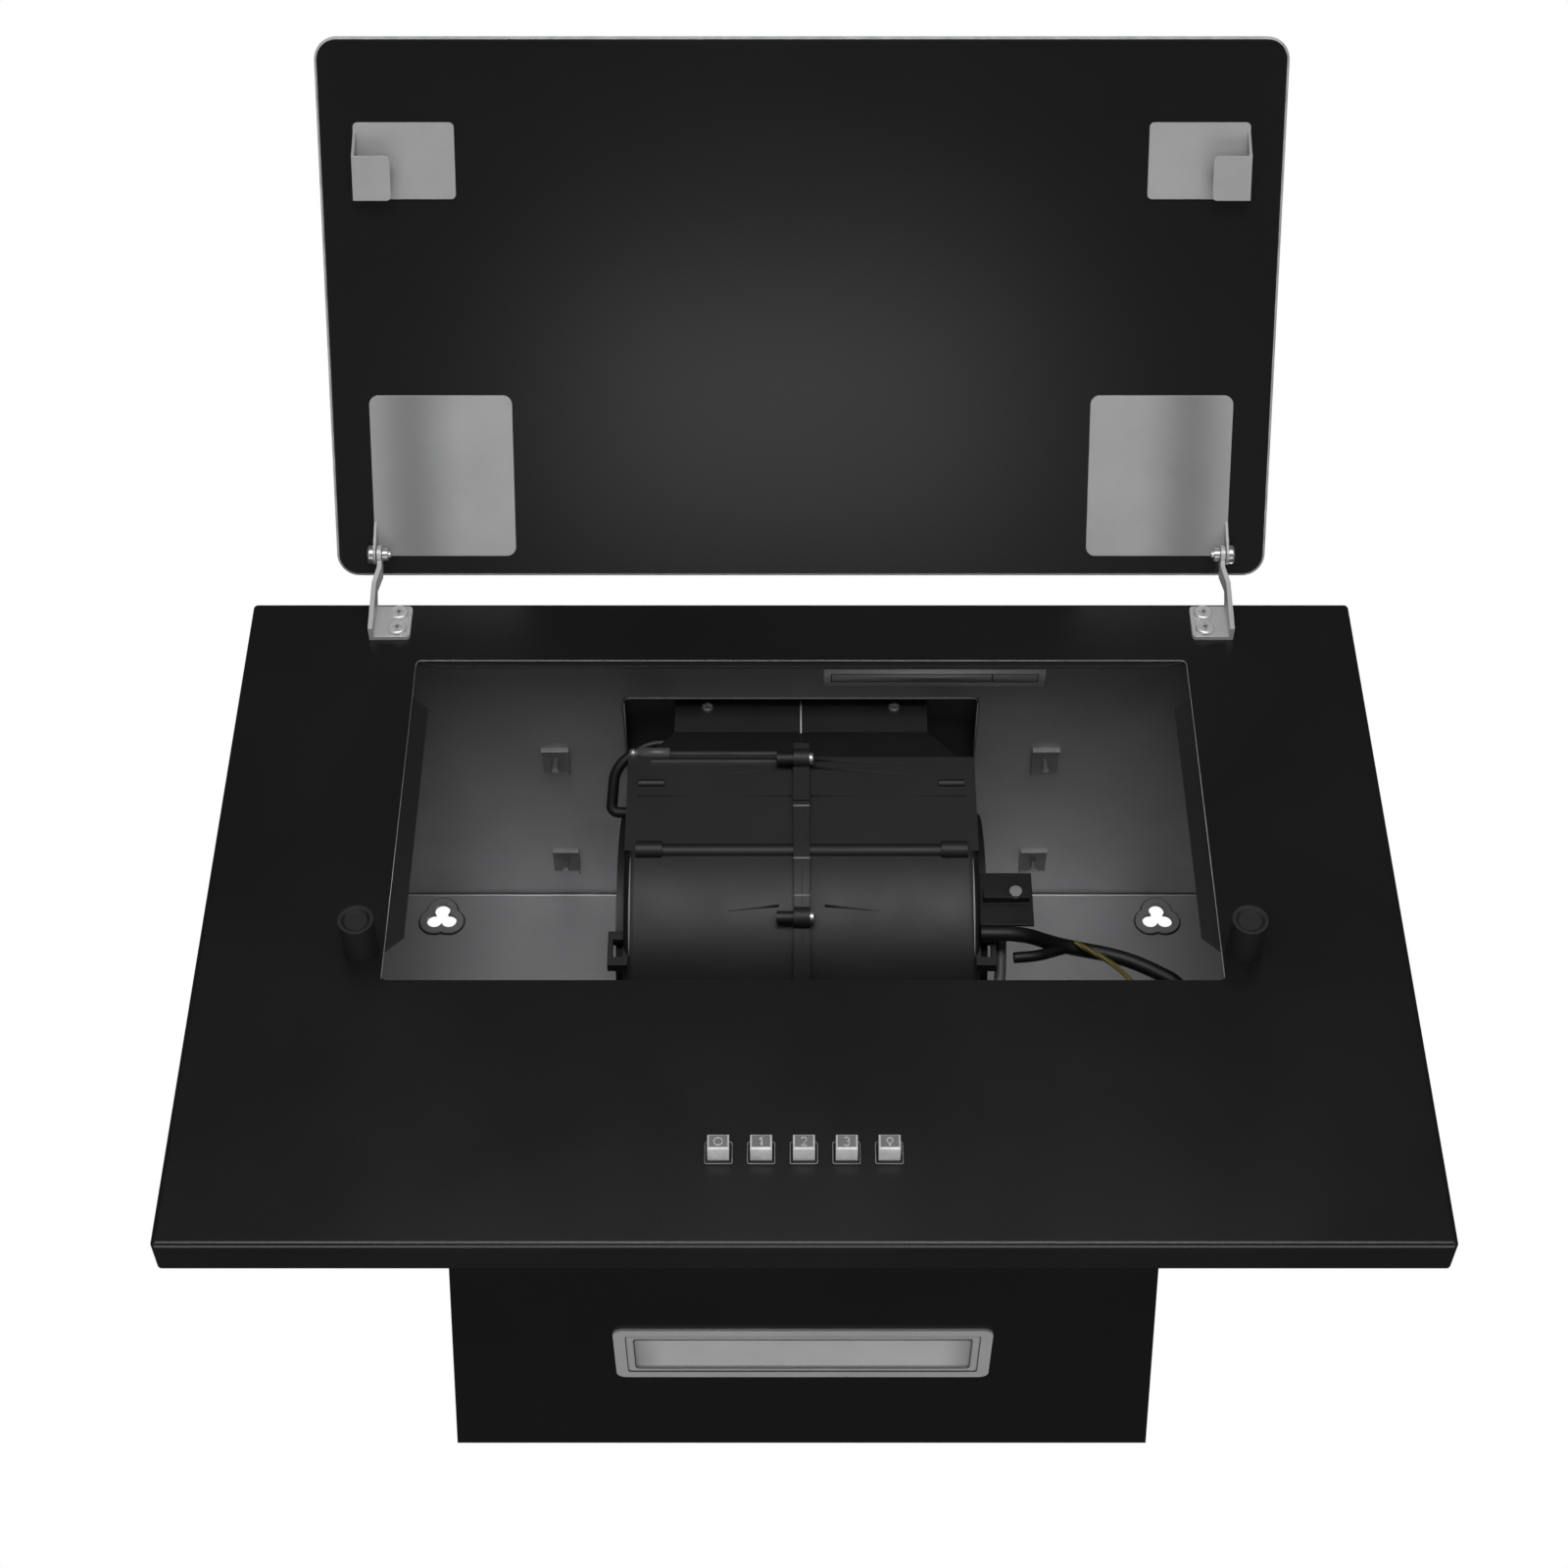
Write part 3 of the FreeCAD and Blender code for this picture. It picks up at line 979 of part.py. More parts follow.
def make_pivot(side_name, side):
    """The screw that turns in the arm with the flap, and its round nut inside the arm."""
    shank_from = "arm_place - fit_gap - pivot_nut_length - arm_sheet"
    shank = rod("pivot_shank_" + side_name, "pivot_shank", f"{EAR_OUTER} - ({shank_from})",
                start(side, shank_from, EAR_OUTER), "0", "0", "x")
    head = rod("pivot_head_" + side_name, "pivot_head", "pivot_head_rise",
               start(side, EAR_OUTER, f"{EAR_OUTER} + pivot_head_rise"), "0", "0", "x")
    head = rounded("pivot_dome_" + side_name, head, s.head_round,
                   lambda edge: is_circle(edge) and abs(edge.CenterOfMass.x) > abs(head.Shape.CenterOfMass.x))
    nut = rod("pivot_nut_rod_" + side_name, "pivot_nut", "pivot_nut_length",
              start(side, "arm_place - fit_gap - pivot_nut_length", "arm_place - fit_gap"), "0", "0", "x")
    hole = rod("pivot_nut_hole_" + side_name, "pivot_shank", "pivot_nut_length + 2 * overrun",
               start(side, "arm_place - fit_gap - pivot_nut_length - overrun", "arm_place - fit_gap + overrun"),
               "0", "0", "x")
    return joined("pivot_" + side_name, shank, head), without("pivot_nut_cut_" + side_name, nut, hole)


def make_pivots():
    pairs = [make_pivot(side_name, side) for side_name, side in SIDES]
    for label, pieces in zip(("pivot_screws", "pivot_nuts"), zip(*pairs)):
        node(joined(label + "_pair", *pieces), label, flap_place)


def make_knob(side_name, side):
    """A soft stop that the shut flap rests on, turned about its own axis."""
    body = new_body("knob_body_" + side_name)
    profile = sketch_on(body, "XZ", "knob_profile_" + side_name)
    stud, radius, rim = "knob_stud", "knob_radius", "knob_radius - knob_rim"
    low, top = "-knob_stud_length", "knob_length"
    points = [("0", low), (stud, low), (stud, "0"), (radius, "0"), (radius, top), (rim, top)]
    points += [(rim + " - knob_dish", f"{top} - knob_dish"), ("0", f"{top} - knob_dish")]
    draw_outline(profile, points)
    turned = body.newObject("PartDesign::Revolution", "knob_turned_" + side_name)
    turned.Profile = profile
    turned.ReferenceAxis = (profile, ["V_Axis"])
    turned.Angle = 360
    doc.recompute()
    lift = Placement(Vector(side * s.knob_place, 0, panel_length - s.knob_below), Rotation(Vector(1, 0, 0), 90))
    node(body, "catch_knob_" + side_name, panel_place.multiply(lift))


# Blower: a casing in two halves that meet in the hood's middle
AXIS_Y, AXIS_Z = "-barrel_depth", "-barrel_drop"
BARREL_HALF = "barrel_width / 2"


def casing_solid(tag, side, grow, half, shoulder, neck_half, top):
    """The drum with its neck, grown outwards by grow, on one side of the seam."""
    drum = rod("drum_" + tag, f"barrel_radius + {grow}", half, start(side, "0", half), AXIS_Y, AXIS_Z, "x")
    if shoulder == BARREL_HALF + " - flare_inset":
        drum = rounded("drum_round_" + tag, drum, s.barrel_edge,
                       lambda edge: is_circle(edge) and abs(edge.CenterOfMass.x) > EPSILON)
    neck = new_body("neck_body_" + tag)
    section = sketch_on(neck, "YZ", "neck_section_" + tag)
    front = f"-barrel_depth - barrel_radius - {grow}"
    points = [(front, AXIS_Z), (f"-neck_back + {grow}", AXIS_Z), (f"-neck_back + {grow}", top)]
    points += [(f"-neck_front - {grow}", top), (f"-neck_front - {grow}", "neck_foot"), (front, "-flare_drop")]
    draw_outline(section, points)
    pad(neck, section, half, back=side < 0)
    cheek = new_body("cheek_body_" + tag)
    face = sketch_on(cheek, "XZ", "cheek_" + tag, "barrel_depth + barrel_radius + overrun")
    outline = [("0", AXIS_Z), (half, AXIS_Z), (half, "-flare_drop"), (shoulder, "-flare_drop")]
    outline += [(neck_half, "neck_foot"), (neck_half, top), ("0", top)]
    draw_outline(face, [(f"{side} * ({across})", up) for across, up in outline])
    pad(cheek, face, "2 * barrel_radius", back=True)
    return joined("casing_" + tag, drum, shared("neck_" + tag, neck, cheek))


def seam_axes():
    """Places of the two seam screws, as expressions of depth and height."""
    angle = math.radians(s.seam_angle)
    reach = "(barrel_radius + seam_out)"
    upper = ("-barrel_depth - barrel_radius - seam_out", "-seam_drop")
    lower = (f"-barrel_depth - {reach} * {math.cos(angle):.9f}", f"-barrel_drop - {reach} * {math.sin(angle):.9f}")
    return (("upper", *upper), ("lower", *lower))


def make_blower_half(side_name, side):
    outer = casing_solid("outer_" + side_name, side, "0", BARREL_HALF, BARREL_HALF + " - flare_inset",
                         "neck_width / 2", "neck_top")
    inner = casing_solid("inner_" + side_name, side, "(-barrel_wall)", BARREL_HALF + " - barrel_wall",
                         BARREL_HALF + " - flare_inset - barrel_wall", "neck_width / 2 - barrel_wall",
                         "neck_top + overrun")
    ring = rod("seam_ring_" + side_name, "barrel_radius + seam_rise", "seam_width",
               start(side, "0", "seam_width"), AXIS_Y, AXIS_Z, "x")
    seam = box("seam_front_" + side_name, "seam_width", "barrel_radius + seam_rise",
               "barrel_drop - seam_top_drop", start(side, "0", "seam_width"),
               "-barrel_depth - barrel_radius - seam_rise", AXIS_Z)
    block_out = "barrel_radius + seam_rise + block_rise"
    solid_block = box("seam_block_" + side_name, "seam_width", block_out, "block_height",
                      start(side, "0", "seam_width"), f"-barrel_depth - ({block_out})", "-block_drop - block_height")
    solids = [outer, ring, seam, solid_block]
    holes = [inner, rod("inlet_" + side_name, "inlet_radius", "barrel_wall + 2 * overrun",
                        start(side, f"{BARREL_HALF} - barrel_wall - overrun", f"{BARREL_HALF} + overrun"),
                        AXIS_Y, AXIS_Z, "x")]
    for tag, deep, high in seam_axes():
        name = f"{tag}_{side_name}"
        solids.append(rod("seam_ear_" + name, "seam_ear", "seam_width", start(side, "0", "seam_width"),
                          deep, high, "x"))
        length = "seam_width + overrun"
        if side < 0:
            solids.append(rod("seam_boss_" + name, "boss_radius", "seam_boss", "-seam_width - seam_boss",
                              deep, high, "x"))
            length = "small_reach + fit_gap"
        holes.append(rod("seam_hole_" + name, "small_shank", length, start(side, "0", length), deep, high, "x"))
    front = "-barrel_depth - barrel_radius"
    solids.append(rod("rib_" + side_name, "rib_radius", f"{BARREL_HALF} - barrel_edge",
                      start(side, "0", f"{BARREL_HALF} - barrel_edge"), f"{front} + rib_out", AXIS_Z, "x"))
    boss_from = f"{BARREL_HALF} - barrel_edge - boss_length"
    for tag, radius, high in (("rib_boss_", "rib_radius + rib_out", AXIS_Z), ("pin_", "pin_radius", "-pin_drop")):
        solids.append(rod(tag + side_name, radius, "boss_length",
                          start(side, boss_from, f"{boss_from} + boss_length"), front, high, "x"))
    if side < 0:
        for tag, drop in (("a", "tube_drop"), ("b", "(tube_drop + tube_pitch)")):
            solids.append(rod("tube_" + tag, "tube_radius", "tube_length", "-seam_width - seam_boss - tube_length",
                              f"{front} + tube_radius / 2", f"-{drop}", "x"))
    lug = box("lug_" + side_name, "lug_out + barrel_wall", "lug_deep", "lug_side",
              start(side, f"{BARREL_HALF} - barrel_wall", f"{BARREL_HALF} + lug_out"), "-lug_depth", "-lug_drop")
    solids.append(lug)
    holes.append(box("lug_hole_" + side_name, "lug_hole", "lug_deep + 2 * overrun", "lug_hole_high",
                     start(side, BARREL_HALF, f"{BARREL_HALF} + lug_hole"), "-lug_depth - overrun",
                     "-lug_drop + (lug_side - lug_hole_high) / 2"))
    holes.append(rod("neck_hole_" + side_name, "small_shank", "barrel_wall + 2 * overrun",
                     f"{side} * neck_screw_place", "-neck_front - overrun", "neck_screw_rise", "y"))
    node(without("casing_" + side_name, joined("casing_join_" + side_name, *solids), *holes),
         "blower_half_" + side_name)


def turned_box(name, across, deep, high, centre, angle):
    """A box about a centre, turned round the X axis by an angle in degrees."""
    thing = doc.addObject("Part::Box", name)
    bind(thing, Length=across, Width=deep, Height=high)
    doc.recompute()
    half = Vector(thing.Length.Value, thing.Width.Value, thing.Height.Value) / -2
    thing.Placement = Placement(centre, Rotation(Vector(1, 0, 0), angle)).multiply(Placement(half, Rotation()))
    return thing


def hollow_ring(name, radius, wall, length, x, y=AXIS_Y, z=AXIS_Z, along="x"):
    bore_start = {"x": (f"{x} - overrun", y, z), "z": (x, y, f"{z} - overrun")}[along]
    return without(name, rod(name + "_out", radius, length, x, y, z, along),
                   rod(name + "_bore", f"{radius} - {wall}", f"{length} + 2 * overrun", *bore_start, along))


def make_grille(side_name, side):
    outer_end = f"{BARREL_HALF} + grille_rise"
    pieces = [hollow_ring("grille_rim_" + side_name, "grille_radius", "grille_bar", "grille_rise",
                          start(side, BARREL_HALF, outer_end))]
    for index in range(1, int(s.grille_rings) + 1):
        pieces.append(hollow_ring(f"grille_ring_{side_name}_{index}", f"(grille_radius - {index} * grille_ring_gap)",
                                  "grille_bar", "grille_bar", start(side, f"{outer_end} - grille_bar", outer_end)))
    middle = side * (s.barrel_width / 2 + s.grille_rise - s.grille_bar / 2)
    bars = int(s.grille_bars)
    for index in range(bars):
        centre = Vector(middle, -s.barrel_depth, -s.barrel_drop)
        pieces.append(turned_box(f"grille_bar_{side_name}_{index}", "grille_bar", "2 * grille_radius - grille_bar",
                                 "grille_bar", centre, math.degrees(math.pi) * index / bars))
    node(joined("grille_" + side_name, *pieces), "inlet_grille_" + side_name)


def make_fan_wheel():
    pieces = []
    middle_radius = s.wheel_radius - s.blade_depth / 2
    count = int(s.blade_count)
    for index in range(count):
        turn = math.tau * index / count
        centre = Vector(0, -s.barrel_depth + middle_radius * math.cos(turn),
                        -s.barrel_drop + middle_radius * math.sin(turn))
        pieces.append(turned_box(f"blade_{index}", "2 * wheel_half - wheel_ring", "blade_depth", "blade_sheet",
                                 centre, math.degrees(turn) + s.blade_angle))
    for tag, place in (("left", "-wheel_half"), ("right", "wheel_half - wheel_ring")):
        pieces.append(hollow_ring("wheel_ring_" + tag, "wheel_radius", "blade_depth", "wheel_ring", place))
    pieces.append(rod("wheel_web", "wheel_radius - blade_depth / 2", "wheel_web", "-wheel_web / 2", AXIS_Y, AXIS_Z,
                      "x"))
    pieces.append(rod("wheel_hub", "hub_radius", "2 * hub_length", "-hub_length", AXIS_Y, AXIS_Z, "x"))
    bore = rod("wheel_bore", "shaft_radius", "2 * hub_length + 2 * overrun", "-hub_length - overrun", AXIS_Y, AXIS_Z,
               "x")
    node(without("wheel", joined("wheel_join", *pieces), bore), "fan_wheel")


MOTOR_END = "(barrel_width / 2 - barrel_wall - spider_sheet)"


def make_motor():
    shaft_end = f"{MOTOR_END} - motor_cover"
    node(rod("shaft", "shaft_radius", f"hub_length + {shaft_end} - fit_gap", "-hub_length", AXIS_Y, AXIS_Z, "x"),
         "motor_shaft")
    case = rod("motor_case", "motor_radius", f"{MOTOR_END} - motor_start", "motor_start", AXIS_Y, AXIS_Z, "x")
    boss = rod("motor_nose", "motor_boss", "motor_boss_length + overrun", "motor_start - motor_boss_length", AXIS_Y,
               AXIS_Z, "x")
    bore = rod("motor_bore", "shaft_radius + shaft_gap", f"{shaft_end} - motor_start + motor_boss_length + overrun",
               "motor_start - motor_boss_length - overrun", AXIS_Y, AXIS_Z, "x")
    node(without("motor_cut", joined("motor_join", case, boss), bore), "motor")
    arms = [rod("spider_disc", "motor_radius", "spider_sheet", MOTOR_END, AXIS_Y, AXIS_Z, "x")]
    count = int(s.spider_arms)
    for index in range(count):
        turn = math.tau * (index + 0.5) / count
        out = s.spider_reach / 2
        centre = Vector(s.barrel_width / 2 - s.barrel_wall - s.spider_sheet / 2,
                        -s.barrel_depth + out * math.cos(turn), -s.barrel_drop + out * math.sin(turn))
        arms.append(turned_box(f"spider_arm_{index}", "spider_sheet", "spider_reach", "spider_arm", centre,
                               math.degrees(turn)))
    node(joined("spider", *arms), "motor_bracket")


def make_seam_screws():
    screws = []
    for tag, deep, high in seam_axes():
        head = rod("seam_head_" + tag, "seam_head", "small_head_rise", "seam_width", deep, high, "x")
        head = rounded("seam_dome_" + tag, head, s.head_round,
                       lambda edge: is_circle(edge) and edge.CenterOfMass.x > head.Shape.CenterOfMass.x)
        shank = rod("seam_shank_" + tag, "small_shank", "seam_width + small_reach", "-small_reach", deep, high, "x")
        screws.append(joined("seam_screw_" + tag, head, shank))
    screws.append(rod("clamp_screw", "seam_head", "small_head_rise", f"{BARREL_HALF} + clamp_width * 2 / 3",
                      "-clamp_depth - clamp_sheet - clamp_bar - small_head_rise", "clamp_height / 2 - clamp_drop", "y"))
    node(joined("seam_screws", *screws), "seam_screws")


# Outlet above the ceiling: tray on the ceiling, skirt in the blower's neck, collar with two damper flaps
TRAY_TOP = "(ceiling_rise + zinc_sheet + outlet_tray)"
PLATE_TOP = "(ceiling_rise + zinc_sheet + outlet_tray + outlet_sheet)"
COLLAR_BORE = "(outlet_radius - outlet_wall)"
PIN_HIGH = "(ceiling_rise + zinc_sheet + outlet_tray + outlet_sheet + damper_rise)"


def spread(name, grow, high, z):
    """A box over the aperture, wider than it by grow on all sides."""
    return box(name, f"hatch_width + 2 * ({grow})", f"hatch_front - hatch_back + 2 * ({grow})", high,
               f"-hatch_width / 2 - ({grow})", f"-hatch_front - ({grow})", z)


def neck_box(name, inside, high, z):
    """A box inside the blower's neck, smaller than its bore by inside on all sides."""
    gap = f"(barrel_wall + {inside})"
    return box(name, f"neck_width - 2 * {gap}", f"neck_front - neck_back - 2 * {gap}", high,
               f"-neck_width / 2 + {gap}", f"-neck_front + {gap}", z)


def make_outlet():
    top_of_ceiling = "ceiling_rise + zinc_sheet"
    flange = spread("outlet_flange", "outlet_lap", "outlet_sheet", top_of_ceiling)
    tray = spread("outlet_tray_out", "outlet_sheet", "outlet_tray + outlet_sheet", top_of_ceiling)
    tray_in = spread("outlet_tray_in", "0", "outlet_tray + overrun", f"{top_of_ceiling} - overrun")
    skirt = neck_box("skirt_out", "skirt_gap", "skirt_drop + outlet_sheet / 2", f"{TRAY_TOP} - skirt_drop")
    collar = rod("collar_out", "outlet_radius", "outlet_length + outlet_sheet / 2", "0", "-outlet_depth",
                 f"{PLATE_TOP} - outlet_sheet / 2")
    shell = joined("outlet_join", without("outlet_tray", joined("outlet_box", flange, tray), tray_in), skirt, collar)
    ledge_top = f"({PIN_HIGH} - damper_sheet / 2 - fit_gap)"
    bore = rod("collar_bore", COLLAR_BORE, "outlet_length + overrun", "0", "-outlet_depth", ledge_top)
    below = rod("collar_below", f"{COLLAR_BORE} - damper_stop", f"{ledge_top} - {PLATE_TOP} + overrun", "0",
                "-outlet_depth", PLATE_TOP)
    skirt_in = neck_box("skirt_in", "skirt_gap + skirt_wall", "skirt_drop + outlet_sheet + 2 * overrun",
                        f"{TRAY_TOP} - skirt_drop - overrun")
    duct = rod("duct", f"{COLLAR_BORE} - damper_stop", "skirt_drop + outlet_sheet + 2 * overrun", "0",
               "-outlet_depth", f"{TRAY_TOP} - skirt_drop - overrun")
    below_plate = neck_box("skirt_hollow", "skirt_gap + skirt_wall", "skirt_drop + overrun",
                           f"{TRAY_TOP} - skirt_drop - overrun")
    cuts = [bore, below, below_plate, shared("plate_opening", skirt_in, duct)]
    for tag, deep in PIN_LINES:
        cuts.append(rod("pin_hole_" + tag, "damper_pin", "2 * outlet_radius + 2 * overrun",
                        "-outlet_radius - overrun", deep, PIN_HIGH, "x"))
    for side_name, side in SIDES:
        cuts.append(rod("skirt_hole_" + side_name, "small_shank", "skirt_wall + 4 * overrun",
                        f"{side} * neck_screw_place", "-neck_front - overrun", "neck_screw_rise", "y"))
    node(without("outlet", shell, *cuts), "outlet_adaptor")
    pins = []
    for tag, deep in PIN_LINES:
        pins.append(rod("damper_pin_" + tag, "damper_pin", "2 * outlet_radius - outlet_wall",
                        "outlet_wall / 2 - outlet_radius", deep, PIN_HIGH, "x"))
    node(joined("damper_pin_pair", *pins), "damper_pins")


PIN_LINES = (("front", "-outlet_depth - damper_apart"), ("back", "-outlet_depth + damper_apart"))


def make_damper(tag, deep, side):
    leaf_radius = "(outlet_radius - outlet_wall - damper_gap)"
    disc = rod("damper_disc_" + tag, leaf_radius, "damper_sheet", "0", "-outlet_depth",
               f"{PIN_HIGH} - damper_sheet / 2")
    reach = f"({leaf_radius} - damper_apart)"
    half = box("damper_side_" + tag, f"2 * {leaf_radius}", reach, "2 * damper_sheet", f"-{leaf_radius}",
               deep if side > 0 else f"{deep} - {reach}", f"{PIN_HIGH} - damper_sheet")
    sleeve_half = "(outlet_radius - outlet_wall - damper_stop - 2 * damper_gap)"
    sleeve = rod("damper_sleeve_" + tag, "damper_sleeve", f"2 * {sleeve_half}", f"-{sleeve_half}", deep, PIN_HIGH, "x")
    bore = rod("damper_bore_" + tag, "damper_pin + shaft_gap", "2 * outlet_radius", "-outlet_radius", deep, PIN_HIGH,
               "x")
    node(without("damper_cut_" + tag, joined("damper_join_" + tag, shared("leaf_" + tag, disc, half), sleeve), bore),
         "damper_" + tag)


def make_neck_screws():
    screws = []
    for side_name, side in SIDES:
        screws.append(pan_screw("neck_" + side_name, f"{side} * neck_screw_place", "-neck_front", "neck_screw_rise",
                                head="seam_head"))
    node(joined("neck_screws_pair", *screws), "neck_screws")


# Spring nuts under the ceiling and the screws for the chimney's brackets
def make_chimney_fasteners():
    nuts, screws = [], []
    for side_name, side in SIDES:
        for row in ("tab_front", "tab_back"):
            tag = f"{row}_{side_name}"
            x, y = f"({side} * tab_place)", f"(-{row})"
            plate = box("nut_plate_" + tag, "tab_width", "tab_length", "tab_sheet", f"{x} - tab_width / 2",
                        f"{y} - tab_length / 2", "ceiling_rise - tab_sheet")
            inner = start(-side, "tab_width / 2 - tab_sheet", "tab_width / 2")
            edges = [
                box("nut_side_" + tag, "tab_sheet", "tab_length", "tab_edge", f"{x} + {inner}",
                    f"{y} - tab_length / 2", "ceiling_rise - tab_edge"),
                box("nut_front_" + tag, "tab_width", "tab_sheet", "tab_edge", f"{x} - tab_width / 2",
                    f"{y} - tab_length / 2", "ceiling_rise - tab_edge"),
            ]
            hole = rod("nut_hole_" + tag, "tab_screw", "tab_sheet + 2 * overrun", x, y,
                       "ceiling_rise - tab_sheet - overrun")
            nuts.append(without("nut_" + tag, joined("nut_join_" + tag, plate, *edges), hole))
            head = rod("tab_head_" + tag, "tab_head", "tab_head_rise", x, y, "ceiling_rise + zinc_sheet")
            shank = rod("tab_shank_" + tag, "tab_screw", "tab_screw_length + zinc_sheet", x, y,
                        "ceiling_rise - tab_screw_length")
            screws.append(joined("tab_screw_" + tag, head, shank))
    node(joined("nuts", *nuts), "chimney_nuts")
    node(joined("tab_screws", *screws), "chimney_screws")


# Electrical pieces: clamp beside the blower, grommets, gland, and the boxes behind the lamp
def make_clamp():
    low, back = "-clamp_drop", "-clamp_depth - clamp_sheet"
    plate = box("clamp_plate", "clamp_width", "clamp_sheet", "clamp_height", BARREL_HALF, back, low)
    bar_width = "clamp_width - 2 * clamp_bar_in"
    bar_low = f"{low} + clamp_height / 2 - clamp_bar / 2"
    bar = box("clamp_bar_piece", bar_width, "clamp_bar", "clamp_bar", f"{BARREL_HALF} + clamp_bar_in",
              f"{back} - clamp_bar", bar_low)
    node(joined("clamp", plate, bar), "cable_clamp")


def make_grommets():
    rings = []
    for name, place, depth, radius in GROMMETS:
        neck = rod(name + "_neck", f"{radius} + grommet_wall", "zinc_sheet + 2 * grommet_flange", place, f"-{depth}",
                   "-floor_drop - zinc_sheet - grommet_flange")
        solids = [neck]
        for tag, low in (("top", "-floor_drop"), ("under", "-floor_drop - zinc_sheet - grommet_flange")):
            solids.append(rod(f"{name}_rim_{tag}", f"{radius} + grommet_wall + grommet_rim", "grommet_flange", place,
                              f"-{depth}", low))
        bore = rod(name + "_bore", radius, "zinc_sheet + 2 * grommet_flange + 2 * overrun", place, f"-{depth}",
                   "-floor_drop - zinc_sheet - grommet_flange - overrun")
        rings.append(without(name + "_ring", joined(name + "_join", *solids), bore))
    node(joined("grommets", *rings), "cable_grommets")


def make_gland():
    x, y = "gland_place", "-gland_depth"
    top = "ceiling_rise + zinc_sheet"
    body = rod("gland_body", "gland_radius", "gland_height", x, y, top)
    neck = rod("gland_thread", "gland_neck", "gland_nut + zinc_sheet + overrun", x, y, "ceiling_rise - gland_nut")
    nut = rod("gland_ring", "gland_radius", "gland_nut", x, y, "ceiling_rise - gland_nut")
    bore = rod("gland_bore_cut", "gland_bore", "gland_height + gland_nut + zinc_sheet + 2 * overrun", x, y,
               "ceiling_rise - gland_nut - overrun")
    node(without("gland", joined("gland_join", body, neck, nut), bore), "mains_gland")


def make_box_contents():
    floor = f"({BOX_LOW} + box_sheet)"
    node(box("driver", "driver_length", "driver_width", "driver_height", "-driver_length / 2",
             "-driver_depth - driver_width", floor), "lamp_driver")
    node(rod("capacitor_can", "capacitor_radius", "capacitor_length", "-capacitor_place - capacitor_length",
             "-capacitor_depth", f"{floor} + capacitor_radius", "x"), "motor_capacitor")
    low = box("terminal_low", "terminal_length", "terminal_width", "terminal_height", "terminal_place",
              "-terminal_depth - terminal_width", floor)
    cuts = []
    for tag, deep in (("front", "-terminal_depth - terminal_width - overrun"), ("back", "-terminal_depth - terminal_step")):
        cuts.append(box("terminal_cut_" + tag, "terminal_length + 2 * overrun", "terminal_step + overrun",
                        "terminal_height", "terminal_place - overrun", deep, f"{floor} + terminal_height / 2"))
    node(without("terminal_cut", low, *cuts), "terminal_block")
    tag = box("tag_plate", "tag_side", "2 * tag_side", "tab_sheet", "grommet_place + 2 * tag_side",
              "-tag_depth", "-floor_drop")
    head = rod("tag_screw", "tag_side / 3", "small_head_rise", "grommet_place + tag_side * 5 / 2",
               "-tag_depth + tag_side * 3 / 2", "-floor_drop + tab_sheet")
    node(joined("tag", tag, head), "earth_tag")


# Courses of the wires: from which place each point is measured, and how far across, back and up it lies from it
TERMINAL_TOP = -s.edge_drop + s.box_lift + s.box_sheet + s.terminal_height
EARTH_END = -s.floor_drop + s.tab_sheet
PLACES = {
    "middle": Vector(),
    "clamp": Vector(s.barrel_width / 2, -s.clamp_depth, 0),
    "neck": Vector(-s.neck_width / 2, -s.neck_front, 0),
    "main hole": Vector(s.grommet_place, -s.grommet_depth, 0),
    "lead hole": Vector(s.lead_place, -s.lead_depth, 0),
}
COURSES = {
    "cable_main": ("cable_radius", [
        ("clamp", 0, 0, -129.5), ("clamp", 21, 0, -129.5), ("clamp", 46, 28, -119),
        ("clamp", 79, 28, -126), ("middle", 203, -152, -146), ("middle", 197, -152, -172),
        ("main hole", 0, 0, -182), ("main hole", 0, 0, -232), ("middle", 116, -40, -270),
        ("middle", 116, -40, TERMINAL_TOP)]),
    "motor_lead": ("lead_radius", [
        ("clamp", 12, 3, -96), ("clamp", 12, 3, -108), ("clamp", 11.5, 17, -124),
        ("clamp", 11, 21, -142), ("lead hole", 0, 0, -166), ("lead hole", 0, 0, -250), ("middle", 95, -40, -280),
        ("middle", 95, -40, TERMINAL_TOP)]),
    "earth_wire": ("earth_radius", [
        ("clamp", 51.5, 21.1, -121.1), ("clamp", 73, 18, -138), ("middle", 182.5, -162, -165),
        ("middle", 182.5, -162, EARTH_END)]),
    "cable_left": ("lead_radius", [
        ("neck", 0, 16, 6), ("neck", -14.5, 16, 6), ("neck", -33, 18, -8), ("neck", -34, 18, -40),
        ("neck", -24, 18, -40)]),
}
BRANCH = [("clamp", 18, 16, -134), ("clamp", 30, 16, -133), ("clamp", 49, 27, -120)]


def bent_course(points):
    """Straight runs with an arc at each inner point."""
    edges = []
    here = points[0]
    for before, corner, after in zip(points, points[1:], points[2:]):
        inward = (corner - before).normalize()
        onward = (after - corner).normalize()
        reach = BEND_SHARE * min((corner - before).Length, (after - corner).Length)
        first, last = corner - inward * reach, corner + onward * reach
        radius = reach / math.tan(inward.getAngle(onward) / 2)
        centre = corner + (onward - inward).normalize() * math.hypot(radius, reach)
        middle = centre + (corner - centre).normalize() * radius
        edges.append(Part.makeLine(here, first))
        edges.append(Part.Arc(first, middle, last).toShape())
        here = last
    edges.append(Part.makeLine(here, points[-1]))
    return Part.Wire(edges)


BEND_SHARE = 0.45


def cord(radius, places):
    points = [PLACES[origin] + Vector(*offset) for origin, *offset in places]
    ring = Part.Wire(Part.makeCircle(radius, points[0], points[1] - points[0]))
    return bent_course(points).makePipeShell([ring], True, False)


